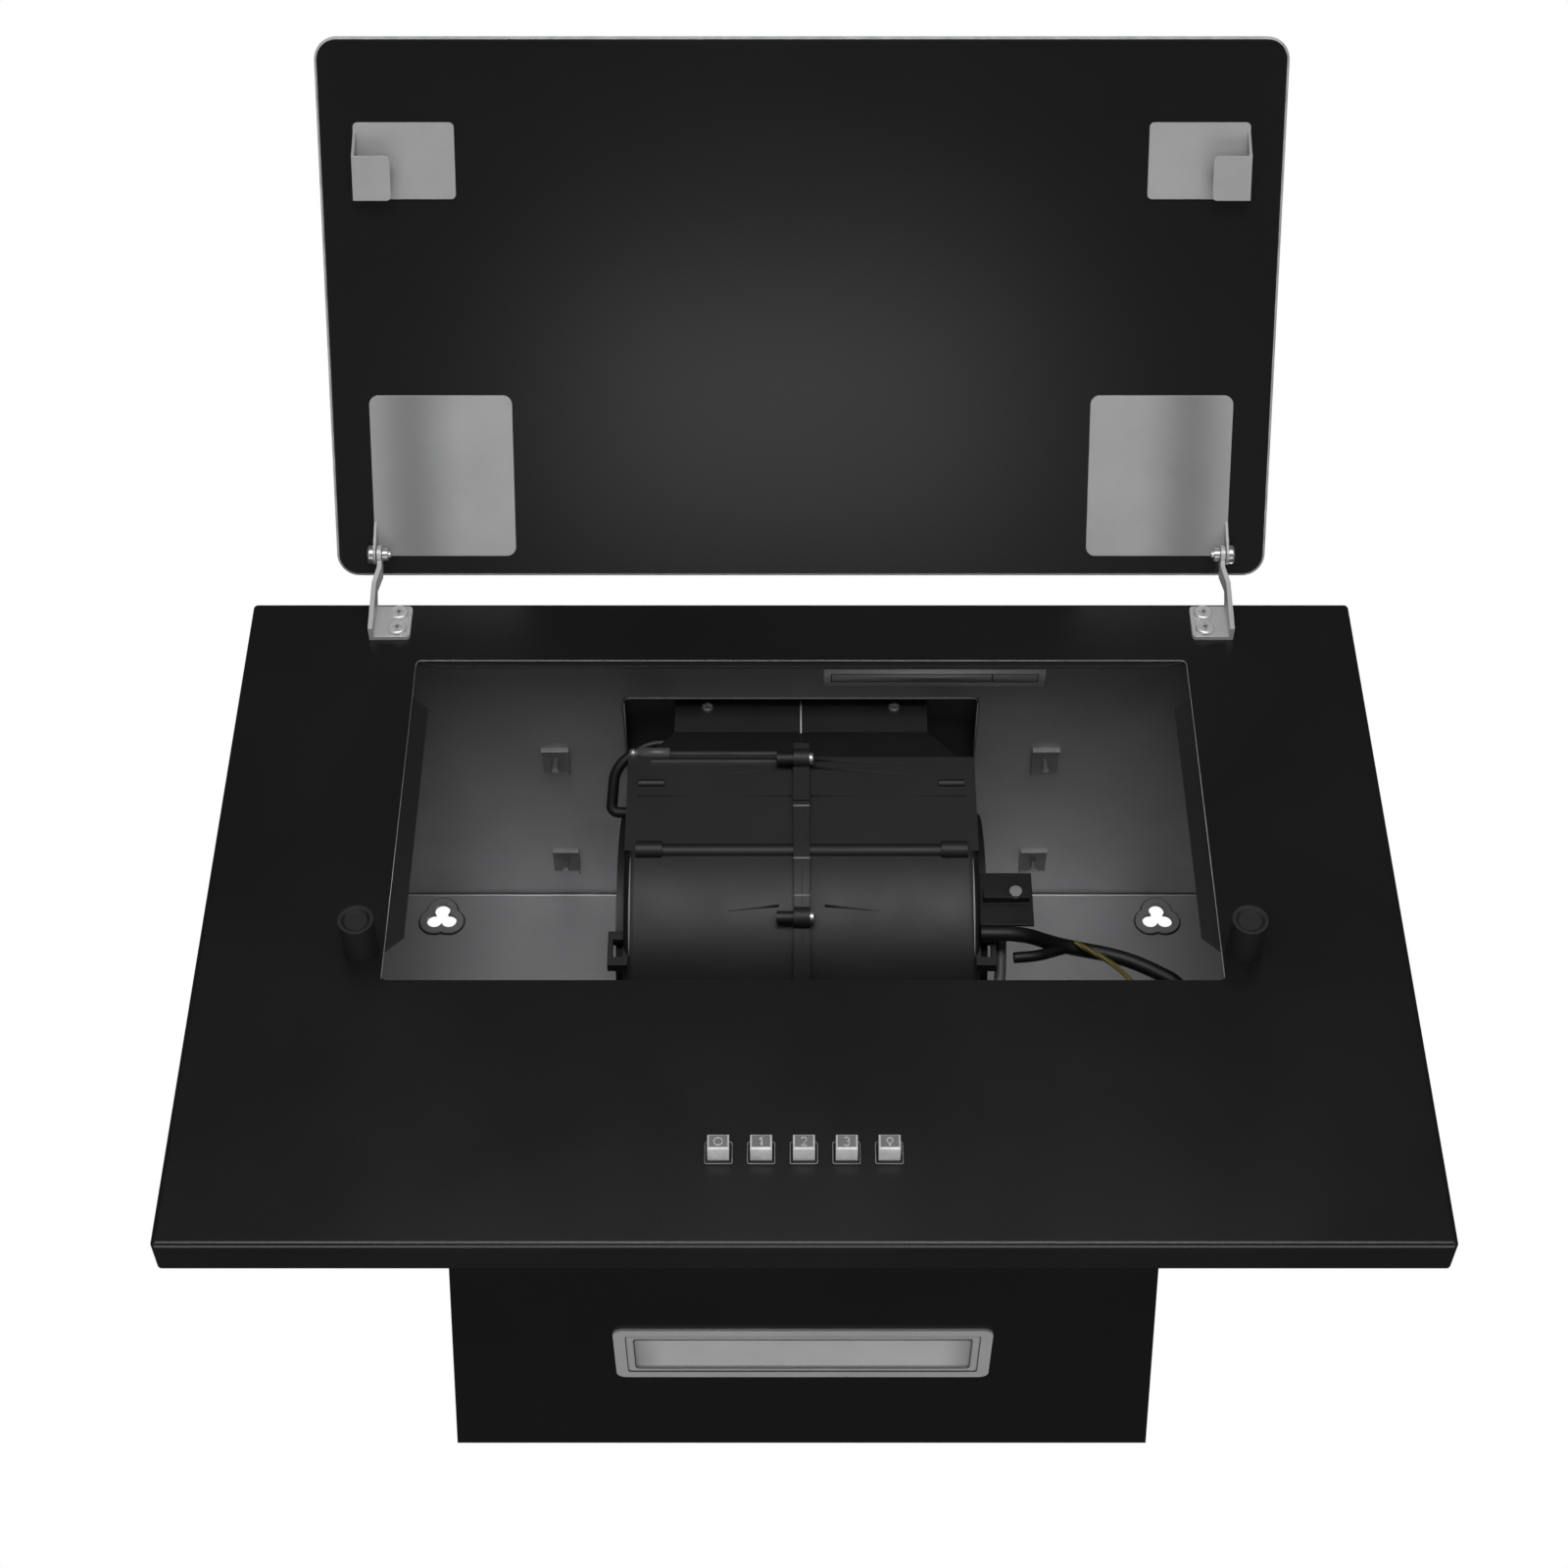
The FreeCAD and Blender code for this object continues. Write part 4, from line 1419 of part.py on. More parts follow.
def make_cords():
    for name, (radius, places) in COURSES.items():
        shape = cord(getattr(s, radius), places)
        if name == "cable_main":
            shape = shape.fuse(cord(s.lead_radius, BRANCH))
        node(feature(name + "_course", shape), name)


# Build all pieces
make_front_panel()
make_chamber_wrap()
for side_name, side in SIDES:
    make_chamber_end(side_name, side)
    make_side_rail(side_name, side)
    make_hinge_base(side_name, side)
    make_knob(side_name, side)
    make_flap_bracket(side_name, side)
    make_hook(side_name, side)
    make_blower_half(side_name, side)
    make_grille(side_name, side)
make_pivots()
make_top_rail()
make_lower_box()
make_lamp()
make_keys()
make_bezels()
make_switch_block()
make_base_screws()
make_glass()
make_fan_wheel()
make_motor()
make_seam_screws()
make_outlet()
for (tag, deep), side in zip(PIN_LINES, (-1, 1)):
    make_damper(tag, deep, side)
make_neck_screws()
make_chimney_fasteners()
make_clamp()
make_grommets()
make_gland()
make_box_contents()
make_cords()

# Check every object, then write one file for each piece
doc.recompute()
for thing in doc.Objects:
    if {"Invalid", "Error"} & set(thing.State):
        raise RuntimeError(f"{thing.Name} failed: {thing.State}")
for thing in nodes:
    if thing.Shape.isNull() or not thing.Shape.isValid() or thing.Shape.Volume < EPSILON:
        raise RuntimeError(thing.Label + " has no valid shape")
os.makedirs("parts", exist_ok=True)
for thing in nodes:
    thing.Shape.exportStep(os.path.join("parts", thing.Label + ".step"))
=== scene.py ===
# %% [markdown]
# # A range hood seen from below
#
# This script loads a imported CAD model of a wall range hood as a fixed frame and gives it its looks: painted
# sheet, zinc-coated sheet, black glass, moulded plastic, rubber and plated screws. It then adds the small
# pieces that CAD leaves out, a pale studio, soft light and a camera.
#
# The finishes could be pictures wrapped round the pieces. They are graphs of nodes instead, because a graph
# needs no unwrapping, stays sharp from close by and is changed by one number.
#
# Everything is in metres. The wall is the plane y = 0, the hood's front faces -Y, and +Z is up. Sizes from
# the drawing are written in millimetres and multiplied by MM.

# %% Load the frame
import json
import math

import bmesh
import bpy
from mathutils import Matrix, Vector


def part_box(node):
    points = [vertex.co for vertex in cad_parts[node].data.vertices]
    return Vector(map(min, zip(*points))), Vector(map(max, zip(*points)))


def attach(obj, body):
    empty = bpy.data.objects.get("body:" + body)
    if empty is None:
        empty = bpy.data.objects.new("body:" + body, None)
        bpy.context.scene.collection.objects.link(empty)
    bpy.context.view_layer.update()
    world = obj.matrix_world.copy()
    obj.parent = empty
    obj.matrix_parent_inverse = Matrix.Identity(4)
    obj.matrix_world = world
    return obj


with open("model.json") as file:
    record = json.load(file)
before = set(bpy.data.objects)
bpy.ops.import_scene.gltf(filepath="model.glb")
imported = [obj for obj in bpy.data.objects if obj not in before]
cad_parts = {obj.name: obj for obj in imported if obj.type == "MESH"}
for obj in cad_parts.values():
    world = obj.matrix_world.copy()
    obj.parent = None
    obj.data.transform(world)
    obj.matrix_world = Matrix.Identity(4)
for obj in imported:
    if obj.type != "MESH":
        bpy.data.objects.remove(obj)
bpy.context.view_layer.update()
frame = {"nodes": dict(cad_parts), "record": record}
nodes = frame["nodes"]
MM = 0.001

# %% [markdown]
# ## Colours and shader nodes
#
# Colours are easiest to read as sRGB hex, the way they look on a screen. Blender's shaders calculate with
# linear light, so one function turns the first into the second.
#
# A material is a small graph of nodes. One function adds a node, sets its properties and fills its sockets,
# either with a plain value or with a link from another node.


# %% Helpers for colours and nodes
def linear(hex_colour):
    """Linear RGBA of an sRGB colour such as 1c1c1e."""
    parts = [int(hex_colour[i:i + 2], 16) / 255 for i in (0, 2, 4)]
    light = [p / 12.92 if p <= 0.04045 else ((p + 0.055) / 1.055) ** 2.4 for p in parts]
    return (*light, 1.0)


def add(tree, kind, inputs=None, **settings):
    """Adds a node of a kind. An input is a plain value, or a pair (node, output) to link from."""
    node = tree.nodes.new("ShaderNode" + kind)
    for name, value in settings.items():
        setattr(node, name, value)
    for name, value in (inputs or {}).items():
        if isinstance(value, tuple) and hasattr(value[0], "outputs"):
            tree.links.new(value[0].outputs[value[1]], node.inputs[name])
        else:
            node.inputs[name].default_value = value
    return node


def new_material(name):
    """An empty node material and its tree."""
    made = bpy.data.materials.new(name)
    made.use_nodes = True
    made.node_tree.nodes.clear()
    print("material:", name)
    return made, made.node_tree


def principled(tree, **inputs):
    """Closes a tree with a Principled shader. An underscore stands for the space in a socket's name."""
    sockets = {name.replace("_", " "): value for name, value in inputs.items()}
    shader = add(tree, "BsdfPrincipled", sockets)
    add(tree, "OutputMaterial", {"Surface": (shader, "BSDF")})


print("a screen's middle grey as linear light:", round(linear("808080")[0], 3))

# %% [markdown]
# ## Patterns that the finishes share
#
# - Clouds: wide, weak noise. No real surface has one flat tone; dust, handling and coating thickness shift it
#   a little over centimetres.
# - Grain: fine noise read as height. A paint film has orange peel of one or two millimetres, a moulded part
#   has a grain of a few tenths.
# - Edges: the Bevel node bends the normal near an edge. Where it differs from the flat normal there is an
#   edge, so their dot product gives a mask for rubbed, paler corners. The same node makes the tiny rounding
#   that catches light. Real bevels on every sheet would need many more faces for the same gleam.


# %% Helpers for the patterns
def clouds(tree, size, low, high, stretch=(1, 1, 1)):
    """Noise with features of a size in metres, spread from low to high. Returns a pair to link from."""
    place = add(tree, "TexCoord")
    moved = add(tree, "Mapping", {"Vector": (place, "Object"), "Scale": stretch})
    noise = add(tree, "TexNoise", {"Vector": (moved, "Vector"), "Scale": 1 / size, "Detail": 3.0})
    spread = add(tree, "MapRange", {"Value": (noise, "Fac"), "From Min": 0.3, "From Max": 0.7, "To Min": low,
                                    "To Max": high})
    return spread, "Result"


def rounded_normal(tree, radius):
    """The normal of an edge that is rounded by a radius in metres."""
    return add(tree, "Bevel", {"Radius": radius}, samples=4), "Normal"


def edges(tree, radius):
    """1 on edges and corners, 0 on flat parts."""
    flat = add(tree, "NewGeometry")
    same = add(tree, "VectorMath", {0: rounded_normal(tree, radius), 1: (flat, "Normal")},
               operation="DOT_PRODUCT")
    mask = add(tree, "MapRange", {"Value": (same, "Value"), "From Min": 0.98, "From Max": 0.8})
    return mask, "Result"


def bumped(tree, height, depth, normal):
    """A normal disturbed by a height pattern of a depth in metres."""
    bump = add(tree, "Bump", {"Height": height, "Distance": depth, "Strength": 1.0, "Normal": normal})
    return bump, "Normal"


def blend(tree, factor, first, second, kind="MIX"):
    """Two colours mixed by a factor: sockets 0, 6 and 7 of the Mix node, and output 2."""
    return add(tree, "Mix", {0: factor, 6: first, 7: second}, data_type="RGBA", blend_type=kind), 2


# %% [markdown]
# ## Painted sheet
#
# The front panel, the rails and the lower box are steel sheet with a baked satin black paint. Such a film has
# a soft orange peel, and its roughness varies a little where it has been wiped. On corners it is thinner and
# rubbed, and looks a little paler there. One function makes the film, and each piece gets its own tone.


# %% Paint
def painted(name, dark, light, rough, edge):
    """Baked satin paint on sheet steel, with orange peel of 1.6 mm and rubbed corners."""
    made, tree = new_material(name)
    colour = blend(tree, clouds(tree, 60 * MM, 0, 1), linear(dark), linear(light))
    worn = blend(tree, edges(tree, 0.8 * MM), colour, linear(edge))
    peel = bumped(tree, clouds(tree, 1.6 * MM, 0, 1), 0.006 * MM, rounded_normal(tree, 0.7 * MM))
    wiped = clouds(tree, 90 * MM, rough, rough + 0.07)
    principled(tree, Base_Color=worn, Roughness=wiped, Normal=peel, IOR=1.5)
    return made


# A deep black with a broad, soft gleam.
panel_paint = painted("panel_baked_satin_black_paint", "0e0e0f", "101011", 0.24, "1a1a1b")
# The lower box is a tone blacker, with a slightly sharper gleam.
box_paint = painted("lower_box_baked_satin_black_paint", "050506", "070708", 0.2, "1a1a1b")
# The rails are duller, and their edges are rubbed by the filter.
rail_paint = painted("rail_baked_black_paint", "090909", "0c0c0c", 0.4, "2e2e2f")

# %% [markdown]
# ## Zinc
#
# The chamber is zinc-coated sheet, the hinges and hooks are zinc-plated steel. Zinc is a metal, so its colour
# belongs to the reflection. The hot-dipped sheet shows faint crystals of several millimetres, made here with
# a Voronoi pattern, and faint lines along the rolling direction. The plated parts are finer and smoother;
# their real crystals are too small to show, and are drawn a few millimetres wide.
#
# Shade is painted into the chamber's sheet. On the ceiling it is darker towards the front, where the panel
# keeps the light out, and the wall gets one even painted shade.
#
# Where a plate mirrors something dark, a soft band lies across it. It is painted in, at a distance from the
# hood's middle, so that it is there from every side.

# %% Painted chamber shade and dark bands
SHADE_FRONT = -230 * MM
SHADE_BACK = -30 * MM


def paint_chamber_shade(tree, place, colour):
    """Paints shade over the ceiling, darker towards the front, and an even shade over the wall."""
    depth = add(tree, "SeparateXYZ", {"Vector": (place, "Object")})
    back = add(tree, "MapRange", {"Value": (depth, "Y"), "From Min": SHADE_FRONT, "From Max": SHADE_BACK})
    ceiling = blend(tree, (back, "Result"), linear("767677"), linear("ffffff"))
    facing = add(tree, "SeparateXYZ", {"Vector": (place, "Normal")})
    down = add(tree, "MapRange", {"Value": (facing, "Z"), "From Min": -0.2, "From Max": -0.8})
    shade_tone = blend(tree, (down, "Result"), linear("bababb"), ceiling)
    return blend(tree, 1.0, colour, shade_tone, "MULTIPLY")


def painted_dark_band(tree, place, colour, band):
    """Paints a soft dark band on both sides of the hood: how far out it lies and its half width."""
    far, half = band
    parts = add(tree, "SeparateXYZ", {"Vector": (place, "Object")})
    across = add(tree, "Math", {0: (parts, "X")}, operation="ABSOLUTE")
    apart = add(tree, "Math", {0: (across, "Value"), 1: far}, operation="SUBTRACT")
    gap = add(tree, "Math", {0: (apart, "Value")}, operation="ABSOLUTE")
    near = add(tree, "MapRange", {"Value": (gap, "Value"), "From Min": half, "From Max": 0.0, "To Max": 0.5},
               interpolation_type="SMOOTHSTEP")
    return blend(tree, (near, "Result"), colour, linear("58585a"))


# %% [markdown]
# ### The zinc coats
#
# One function makes them all. It takes the two tones, the roughness, the size of the crystals and how strong
# the rolling lines are. A coat that isn't quite clean is less of a mirror, so its metallic value is lower.


# %% Zinc coats
def zinc(name, dark, light, rough, crystal, lines, metal=0.75, edge="d2d4d6", soft=0.5 * MM, chamber_shade=False,
         band=None):
    """A zinc coat with crystals of a size in metres and rolling lines of a strength."""
    made, tree = new_material(name)
    place = add(tree, "TexCoord")
    cells = add(tree, "TexVoronoi", {"Vector": (place, "Object"), "Scale": 1 / crystal, "Randomness": 1.0})
    tint = add(tree, "MapRange", {"Value": (cells, "Color"), "To Max": 0.25})
    base = blend(tree, clouds(tree, 45 * MM, 0, 1), linear(dark), linear(light))
    colour = blend(tree, (tint, "Result"), base, linear(light))
    # Painted shade: the ceiling darker towards the front, the wall evenly darker.
    if chamber_shade:
        colour = paint_chamber_shade(tree, place, colour)
    if band:
        colour = painted_dark_band(tree, place, colour, band)
    bright = blend(tree, edges(tree, soft), colour, linear(edge))
    streaks = clouds(tree, 2 * MM, rough, rough + lines, stretch=(0.04, 1, 1))
    dents = bumped(tree, clouds(tree, 14 * MM, 0, 1), 0.006 * MM, rounded_normal(tree, soft))
    principled(tree, Base_Color=bright, Metallic=metal, Roughness=streaks, Normal=dents)
    return made


# The chamber's hot-dipped sheet: a dull, wide shine. Its folds get painted shade as thin dark lines.
sheet_zinc = zinc("chamber_hot_dipped_zinc", "dcdcdd", "e8e8e9", 0.44, 7 * MM, 0.05, metal=0.6, edge="2e2e2f",
                  soft=0.12 * MM, chamber_shade=True)
# The hook plates on the flap: an even, pale grey.
hinge_zinc = zinc("hinge_zinc_plate", "acacad", "b8b8b9", 0.42, 2.5 * MM, 0.06, metal=0.45)
# The flap's brackets: the same plate, with a painted dark reflection in a band towards their outer side.
bracket_zinc = zinc("flap_bracket_zinc_plate", "b2b2b3", "bebebf", 0.42, 2.5 * MM, 0.06, metal=0.45,
                    band=(212 * MM, 30 * MM))
# The hinge bases: paler than the rest, a lighter copy of the plate that paints the light falling on them.
base_zinc = zinc("hinge_base_zinc_plate", "c6c6c7", "d0d0d1", 0.4, 2.5 * MM, 0.06, metal=0.4)

# %% [markdown]
# ### Nuts, screws and the motor
#
# The smallest plated pieces go from dull to bright with the place where they sit: darker copies inside the
# chamber paint its shade, brighter ones outside paint the light on them. The motor's shell is bare pressed
# steel, and the capacitor's can is drawn aluminium; both are metals with faint lines, so the same function
# suits them.

# %% Nuts, screws and motor
# The spring nuts under the ceiling: a darker copy of the plate, which paints the chamber's shade on them.
nut_zinc = zinc("spring_nut_zinc_plate", "949495", "a0a0a1", 0.44, 2 * MM, 0.06, metal=0.6)
# The screws of the hinge bases: almost white, a brighter copy that paints the light on them, so they stand
# out.
head_zinc = zinc("base_screw_bright_zinc_plate", "e4e4e5", "eeeeef", 0.3, 1.5 * MM, 0.05, metal=0.55)
# The screws of the blower's neck and the lip round it: dull, and darker to paint the shade inside the
# chamber.
dull_zinc = zinc("inner_screw_dull_zinc_plate", "6a6a6b", "767677", 0.4, 2 * MM, 0.06, metal=0.6)
# The other screws, pins and nuts: small, sharp glints.
screw_zinc = zinc("screw_bright_zinc_plate", "c4c4c5", "d2d2d3", 0.26, 1.5 * MM, 0.05, metal=0.9)
# The motor's pressed steel shell: a darker mirror with a cool tint.
motor_steel = zinc("motor_pressed_steel", "8a8c8e", "9a9c9e", 0.35, 3 * MM, 0.08)
# The capacitor's drawn can: a light metal with stronger lines.
aluminium = zinc("capacitor_drawn_aluminium", "bcbdbf", "caccce", 0.3, 3 * MM, 0.1)

# %% [markdown]
# ## Keys
#
# The five keys are plastic with a silver coat. Their front face is a tone darker as painted shade, and the
# rest is painted bright for the light from below. A second material on that face would need a split mesh, so
# a mask is taken from the object's own normal instead: 1 where it looks straight out of the panel.

# %% Keys
OUT = Vector((0, -0.999201, 0.039968))


def shaded_silver_finish(name, front, body):
    """A silver coat with painted shade: the front face is darker, the rest is bright."""
    made, tree = new_material(name)
    place = add(tree, "TexCoord")
    along = add(tree, "VectorMath", {0: (place, "Normal"), 1: OUT}, operation="DOT_PRODUCT")
    mask = add(tree, "MapRange", {"Value": (along, "Value"), "From Min": 0.93, "From Max": 0.98})
    tone = blend(tree, clouds(tree, 8 * MM, 0, 0.3), linear(body), linear(front))
    colour = blend(tree, (mask, "Result"), tone, linear(front))
    worn = blend(tree, edges(tree, 0.4 * MM), colour, linear("ececed"))
    fine = bumped(tree, clouds(tree, 0.5 * MM, 0, 1), 0.004 * MM, rounded_normal(tree, 0.3 * MM))
    touched = clouds(tree, 6 * MM, 0.3, 0.36)
    principled(tree, Base_Color=worn, Metallic=0.1, Roughness=touched, Normal=fine)
    return made


# Painted light and shade: bright sides for the light from below, and a grey front in shade.
key_silver = shaded_silver_finish("key_silver_paint_with_painted_shade", "7e7e7f", "f6f6f6")

# %% [markdown]
# ## Moulded plastic and rubber
#
# A mould leaves a fine grain, and the plastic is never quite one tone. Rubber has a coarser, duller skin, and
# its edges pick up pale dust. Both come from one function, since only the numbers differ.


# %% Plastic and rubber
def moulded(name, dark, light, rough, grain, edge):
    """Moulded plastic or rubber with a grain of a size in metres."""
    made, tree = new_material(name)
    colour = blend(tree, clouds(tree, 35 * MM, 0, 1), linear(dark), linear(light))
    worn = blend(tree, edges(tree, 0.5 * MM), colour, linear(edge))
    skin = bumped(tree, clouds(tree, grain, 0, 1), 0.02 * grain, rounded_normal(tree, 0.5 * MM))
    handled = clouds(tree, 25 * MM, rough, rough + 0.08)
    principled(tree, Base_Color=worn, Roughness=handled, Normal=skin, IOR=1.49)
    return made


# The blower's casing: charcoal with a dull, broad shine and paler rims.
blower_plastic = moulded("blower_moulded_charcoal_plastic", "141416", "19191b", 0.48, 0.5 * MM, "3a3a3c")
# The outlet: a lighter grey than the casing.
outlet_plastic = moulded("outlet_moulded_grey_plastic", "3e3e40", "464648", 0.42, 0.5 * MM, "5c5c5e")
# The impeller: black, with blades that catch a thin light.
wheel_plastic = moulded("wheel_moulded_black_plastic", "1c1c1d", "222223", 0.45, 0.5 * MM, "333334")
# The bezels, the clamp and the small housings: a smoother black.
black_plastic = moulded("bezel_moulded_black_plastic", "111112", "151516", 0.3, 0.4 * MM, "2a2a2b")
# The lamp's frame: middle grey with a satin face.
grey_plastic = moulded("lamp_frame_moulded_grey_plastic", "969697", "9e9e9f", 0.36, 0.4 * MM, "b4b4b5")
# The terminal block: the off-white of natural nylon.
pale_plastic = moulded("terminal_moulded_pale_plastic", "d9d9d2", "e2e2dc", 0.45, 0.4 * MM, "eeeeea")

# %% [markdown]
# ### Small electric pieces, rubber and cables
#
# The lamp's board is coated white, its chips are capped with yellow resin. The knobs are rubber, the cables
# are sheathed in soft vinyl.

# %% Board, chips, rubber and cables
# White solder mask, a little glossy.
board = moulded("board_white_solder_mask", "cfd4d1", "dadedc", 0.4, 0.6 * MM, "e6e8e7")
# Yellow resin over the light chips.
chips = moulded("chip_yellow_resin", "d9b740", "e5c458", 0.3, 0.3 * MM, "ecd27a")
# Dull rubber that hardly shines, for the knobs and grommets.
knob_rubber = moulded("knob_moulded_black_rubber", "161616", "1d1d1d", 0.55, 0.7 * MM, "343434")
# Soft vinyl with a narrow line of light along each cable.
cable_skin = moulded("cable_black_vinyl_sheath", "0a0a0a", "0e0e0e", 0.46, 0.6 * MM, "222222")
lead_skin = moulded("motor_lead_grey_vinyl_sheath", "4a4a4b", "555556", 0.42, 0.6 * MM, "666667")

# %% [markdown]
# ## Earth wire
#
# The earth wire is green with yellow stripes along it. Stripes that follow a bent wire would need an
# unwrapped mesh. At this size a wave of stripes that runs slantwise through space looks the same.


# %% Earth wire
def striped_wire(name):
    """Green vinyl with yellow stripes."""
    made, tree = new_material(name)
    place = add(tree, "TexCoord")
    turned = add(tree, "Mapping", {"Vector": (place, "Object"), "Rotation": (0.3, 0.6, 0.5)})
    wave = add(tree, "TexWave", {"Vector": (turned, "Vector"), "Scale": 160.0, "Distortion": 0.5})
    sharp = add(tree, "MapRange", {"Value": (wave, "Fac"), "From Min": 0.45, "From Max": 0.55})
    colour = blend(tree, (sharp, "Result"), linear("46481e"), linear("786428"))
    skin = bumped(tree, clouds(tree, 0.5 * MM, 0, 1), 0.01 * MM, rounded_normal(tree, 0.3 * MM))
    principled(tree, Base_Color=colour, Roughness=clouds(tree, 20 * MM, 0.35, 0.45), Normal=skin, IOR=1.49)
    return made


# Muted green and yellow, as seen in the chamber's shade.
earth_skin = striped_wire("earth_wire_green_yellow_vinyl")

# %% [markdown]
# ## Lens
#
# The lens is frosted plastic: light enters, spreads and comes out again, so it takes some transmission with
# a high roughness. Its two ends get painted shade, a soft dark band each.


# %% Lens
def frosted(name):
    """Frosted lens plastic."""
    made, tree = new_material(name)
    place = add(tree, "TexCoord")
    clear = blend(tree, clouds(tree, 30 * MM, 0, 1), linear("bebebf"), linear("c6c6c7"))
    # Painted shade: a soft dark band at each end of the lens.
    colour = painted_dark_band(tree, place, clear, (86 * MM, 18 * MM))
    skin = bumped(tree, clouds(tree, 1.2 * MM, 0, 1), 0.02 * MM, rounded_normal(tree, 0.4 * MM))
    principled(tree, Base_Color=colour, Roughness=clouds(tree, 20 * MM, 0.42, 0.52), Normal=skin,
               Transmission_Weight=0.25, IOR=1.49)
    return made


# A pale, milky strip.
lens_plastic = frosted("lens_frosted_polycarbonate")

# %% [markdown]
# ## Flap
#
# The flap is glass that is coated black at the back. The glass itself is smooth, so the studio mirrors in it
# softly, and its rim is ground to a pale, matt facet. The rim is found by its normal, as on the keys.

# %% Glass
FLAP_FACE = (0, 0.622, 0.783)


def back_coated_glass(name, face):
    """Glass with a black coat behind it, and a pale ground rim where it doesn't look along the face."""
    made, tree = new_material(name)
    coat = blend(tree, clouds(tree, 120 * MM, 0, 1), linear("0c0c0d"), linear("0f0f10"))
    ground = blend(tree, clouds(tree, 8 * MM, 0, 1), linear("b4b7b8"), linear("d4d6d7"))
    place = add(tree, "TexCoord")
    along = add(tree, "VectorMath", {0: (place, "Normal"), 1: face}, operation="DOT_PRODUCT")
    level = add(tree, "Math", {0: (along, "Value")}, operation="ABSOLUTE")
    rim = add(tree, "MapRange", {"Value": (level, "Value"), "From Min": 0.97, "From Max": 0.93})
    wipe = clouds(tree, 120 * MM, 0.24, 0.26, stretch=(0.6, 1, 1))
    rough = add(tree, "Mix", {0: (rim, "Result"), 2: wipe, 3: 0.45})
    skin = bumped(tree, clouds(tree, 60 * MM, 0, 1), 0.002 * MM, rounded_normal(tree, 0.2 * MM))
    colour = blend(tree, (rim, "Result"), coat, ground)
    principled(tree, Base_Color=colour, Roughness=(rough, 0), Normal=skin, IOR=1.52)
    return made


# A black mirror with a bright, thin outline.
flap_black = back_coated_glass("flap_back_coated_glass", FLAP_FACE)

# %% [markdown]
# ## Give each CAD node its finish
#
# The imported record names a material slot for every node. A table from slot to finish is enough to dress the
# whole model. A few nodes need a finish of their own, and a second table names those.

# %% Dress the nodes
FINISHES = {
    "panel_paint": panel_paint, "zinc": sheet_zinc, "dark_steel": rail_paint, "box_paint": box_paint,
    "lamp_plastic": grey_plastic, "lens": lens_plastic, "board": board, "chips": chips,
    "dark_plastic": black_plastic, "key_chrome": key_silver, "can": aluminium,
    "light_plastic": pale_plastic, "hinge_steel": hinge_zinc, "screw_steel": screw_zinc,
    "soft_rubber": knob_rubber, "blower_plastic": blower_plastic, "wheel_plastic": wheel_plastic,
    "motor_steel": motor_steel, "cable_black": cable_skin, "cable_grey": lead_skin,
    "cable_earth": earth_skin, "flap_black": flap_black,
}
OWN_FINISHES = {
    "hinge_base_left": base_zinc, "hinge_base_right": base_zinc, "hinge_base_screws": head_zinc,
    "flap_bracket_left": bracket_zinc, "flap_bracket_right": bracket_zinc, "chimney_nuts": nut_zinc,
    "neck_screws": dull_zinc, "outlet_adaptor": outlet_plastic, "cable_clamp": black_plastic,
}
for row in frame["record"]["subparts"]:
    slots = nodes[row["node"]].data.materials
    slots.clear()
    slots.append(OWN_FINISHES.get(row["node"], FINISHES[row["material_slot"]]))

# %% [markdown]
# ## Small pieces that CAD leaves out
#
# Signs, thin edges and moulded lines are too fine to be worth a solid. Each is a strand: a ring of points is
# laid round every point of a path and joined to the next ring. With one radius per point a strand can taper,
# or turn into a sleeve or a dome. A curve object with a bevel could do the same; here a plain mesh is built.
# A ring needs one direction across its path. It is taken square to the panel's outward direction where that
# can be done, so that the rings don't twist.


# %% Strands
def strand(shape, points, radius, closed=False, sides=8):
    """Adds a round strand along points. The radius is one number, or one for each point."""
    count = len(points)
    sizes = radius if isinstance(radius, list) else [radius] * count
    rings = []
    for index, point in enumerate(points):
        before = points[index - 1] if index or closed else point
        after = points[(index + 1) % count] if closed or index + 1 < count else point
        ahead = (after - before).normalized()
        side = ahead.orthogonal() if abs(ahead.dot(OUT)) > 0.9 else ahead.cross(OUT)
        side.normalize()
        over = ahead.cross(side)
        turns = [math.tau * step / sides for step in range(sides)]
        rings.append([shape.verts.new(point + (side * math.cos(turn) + over * math.sin(turn)) * sizes[index])
                      for turn in turns])
    pairs = list(zip(rings, rings[1:])) + ([(rings[-1], rings[0])] if closed else [])
    for first, second in pairs:
        for step in range(sides):
            after = (step + 1) % sides
            shape.faces.new((first[step], first[after], second[after], second[step]))
    if not closed:
        shape.faces.new(rings[0])
        shape.faces.new(rings[-1])


# %% [markdown]
# ### From mesh to piece
#
# A finished mesh becomes an object with a name and a finish.


# %% Helpers for the small pieces
def small_piece(name, shape, material, body):
    """Turns a finished mesh into an object that rides on a body."""
    bmesh.ops.recalc_face_normals(shape, faces=shape.faces)
    mesh = bpy.data.meshes.new(name)
    shape.to_mesh(mesh)
    shape.free()
    mesh.shade_smooth()
    mesh.materials.append(material)
    made = bpy.data.objects.new(name, mesh)
    bpy.context.scene.collection.objects.link(made)
    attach(made, body)
    print("small piece:", name, "faces:", len(mesh.polygons), "on:", body)


def strand_piece(name, strands, material, body="hood", closed=False, sides=8):
    """A small piece made of strands, each a pair of its path and its radius."""
    shape = bmesh.new()
    for path, radius in strands:
        strand(shape, path, radius, closed, sides)
    small_piece(name, shape, material, body)


def arc(across, up, radius, first, last, steps=14):
    """Points of an arc between two angles in degrees."""
    angles = [math.radians(first + (last - first) * step / steps) for step in range(steps + 1)]
    return [(across + radius * math.cos(angle), up + radius * math.sin(angle)) for angle in angles]


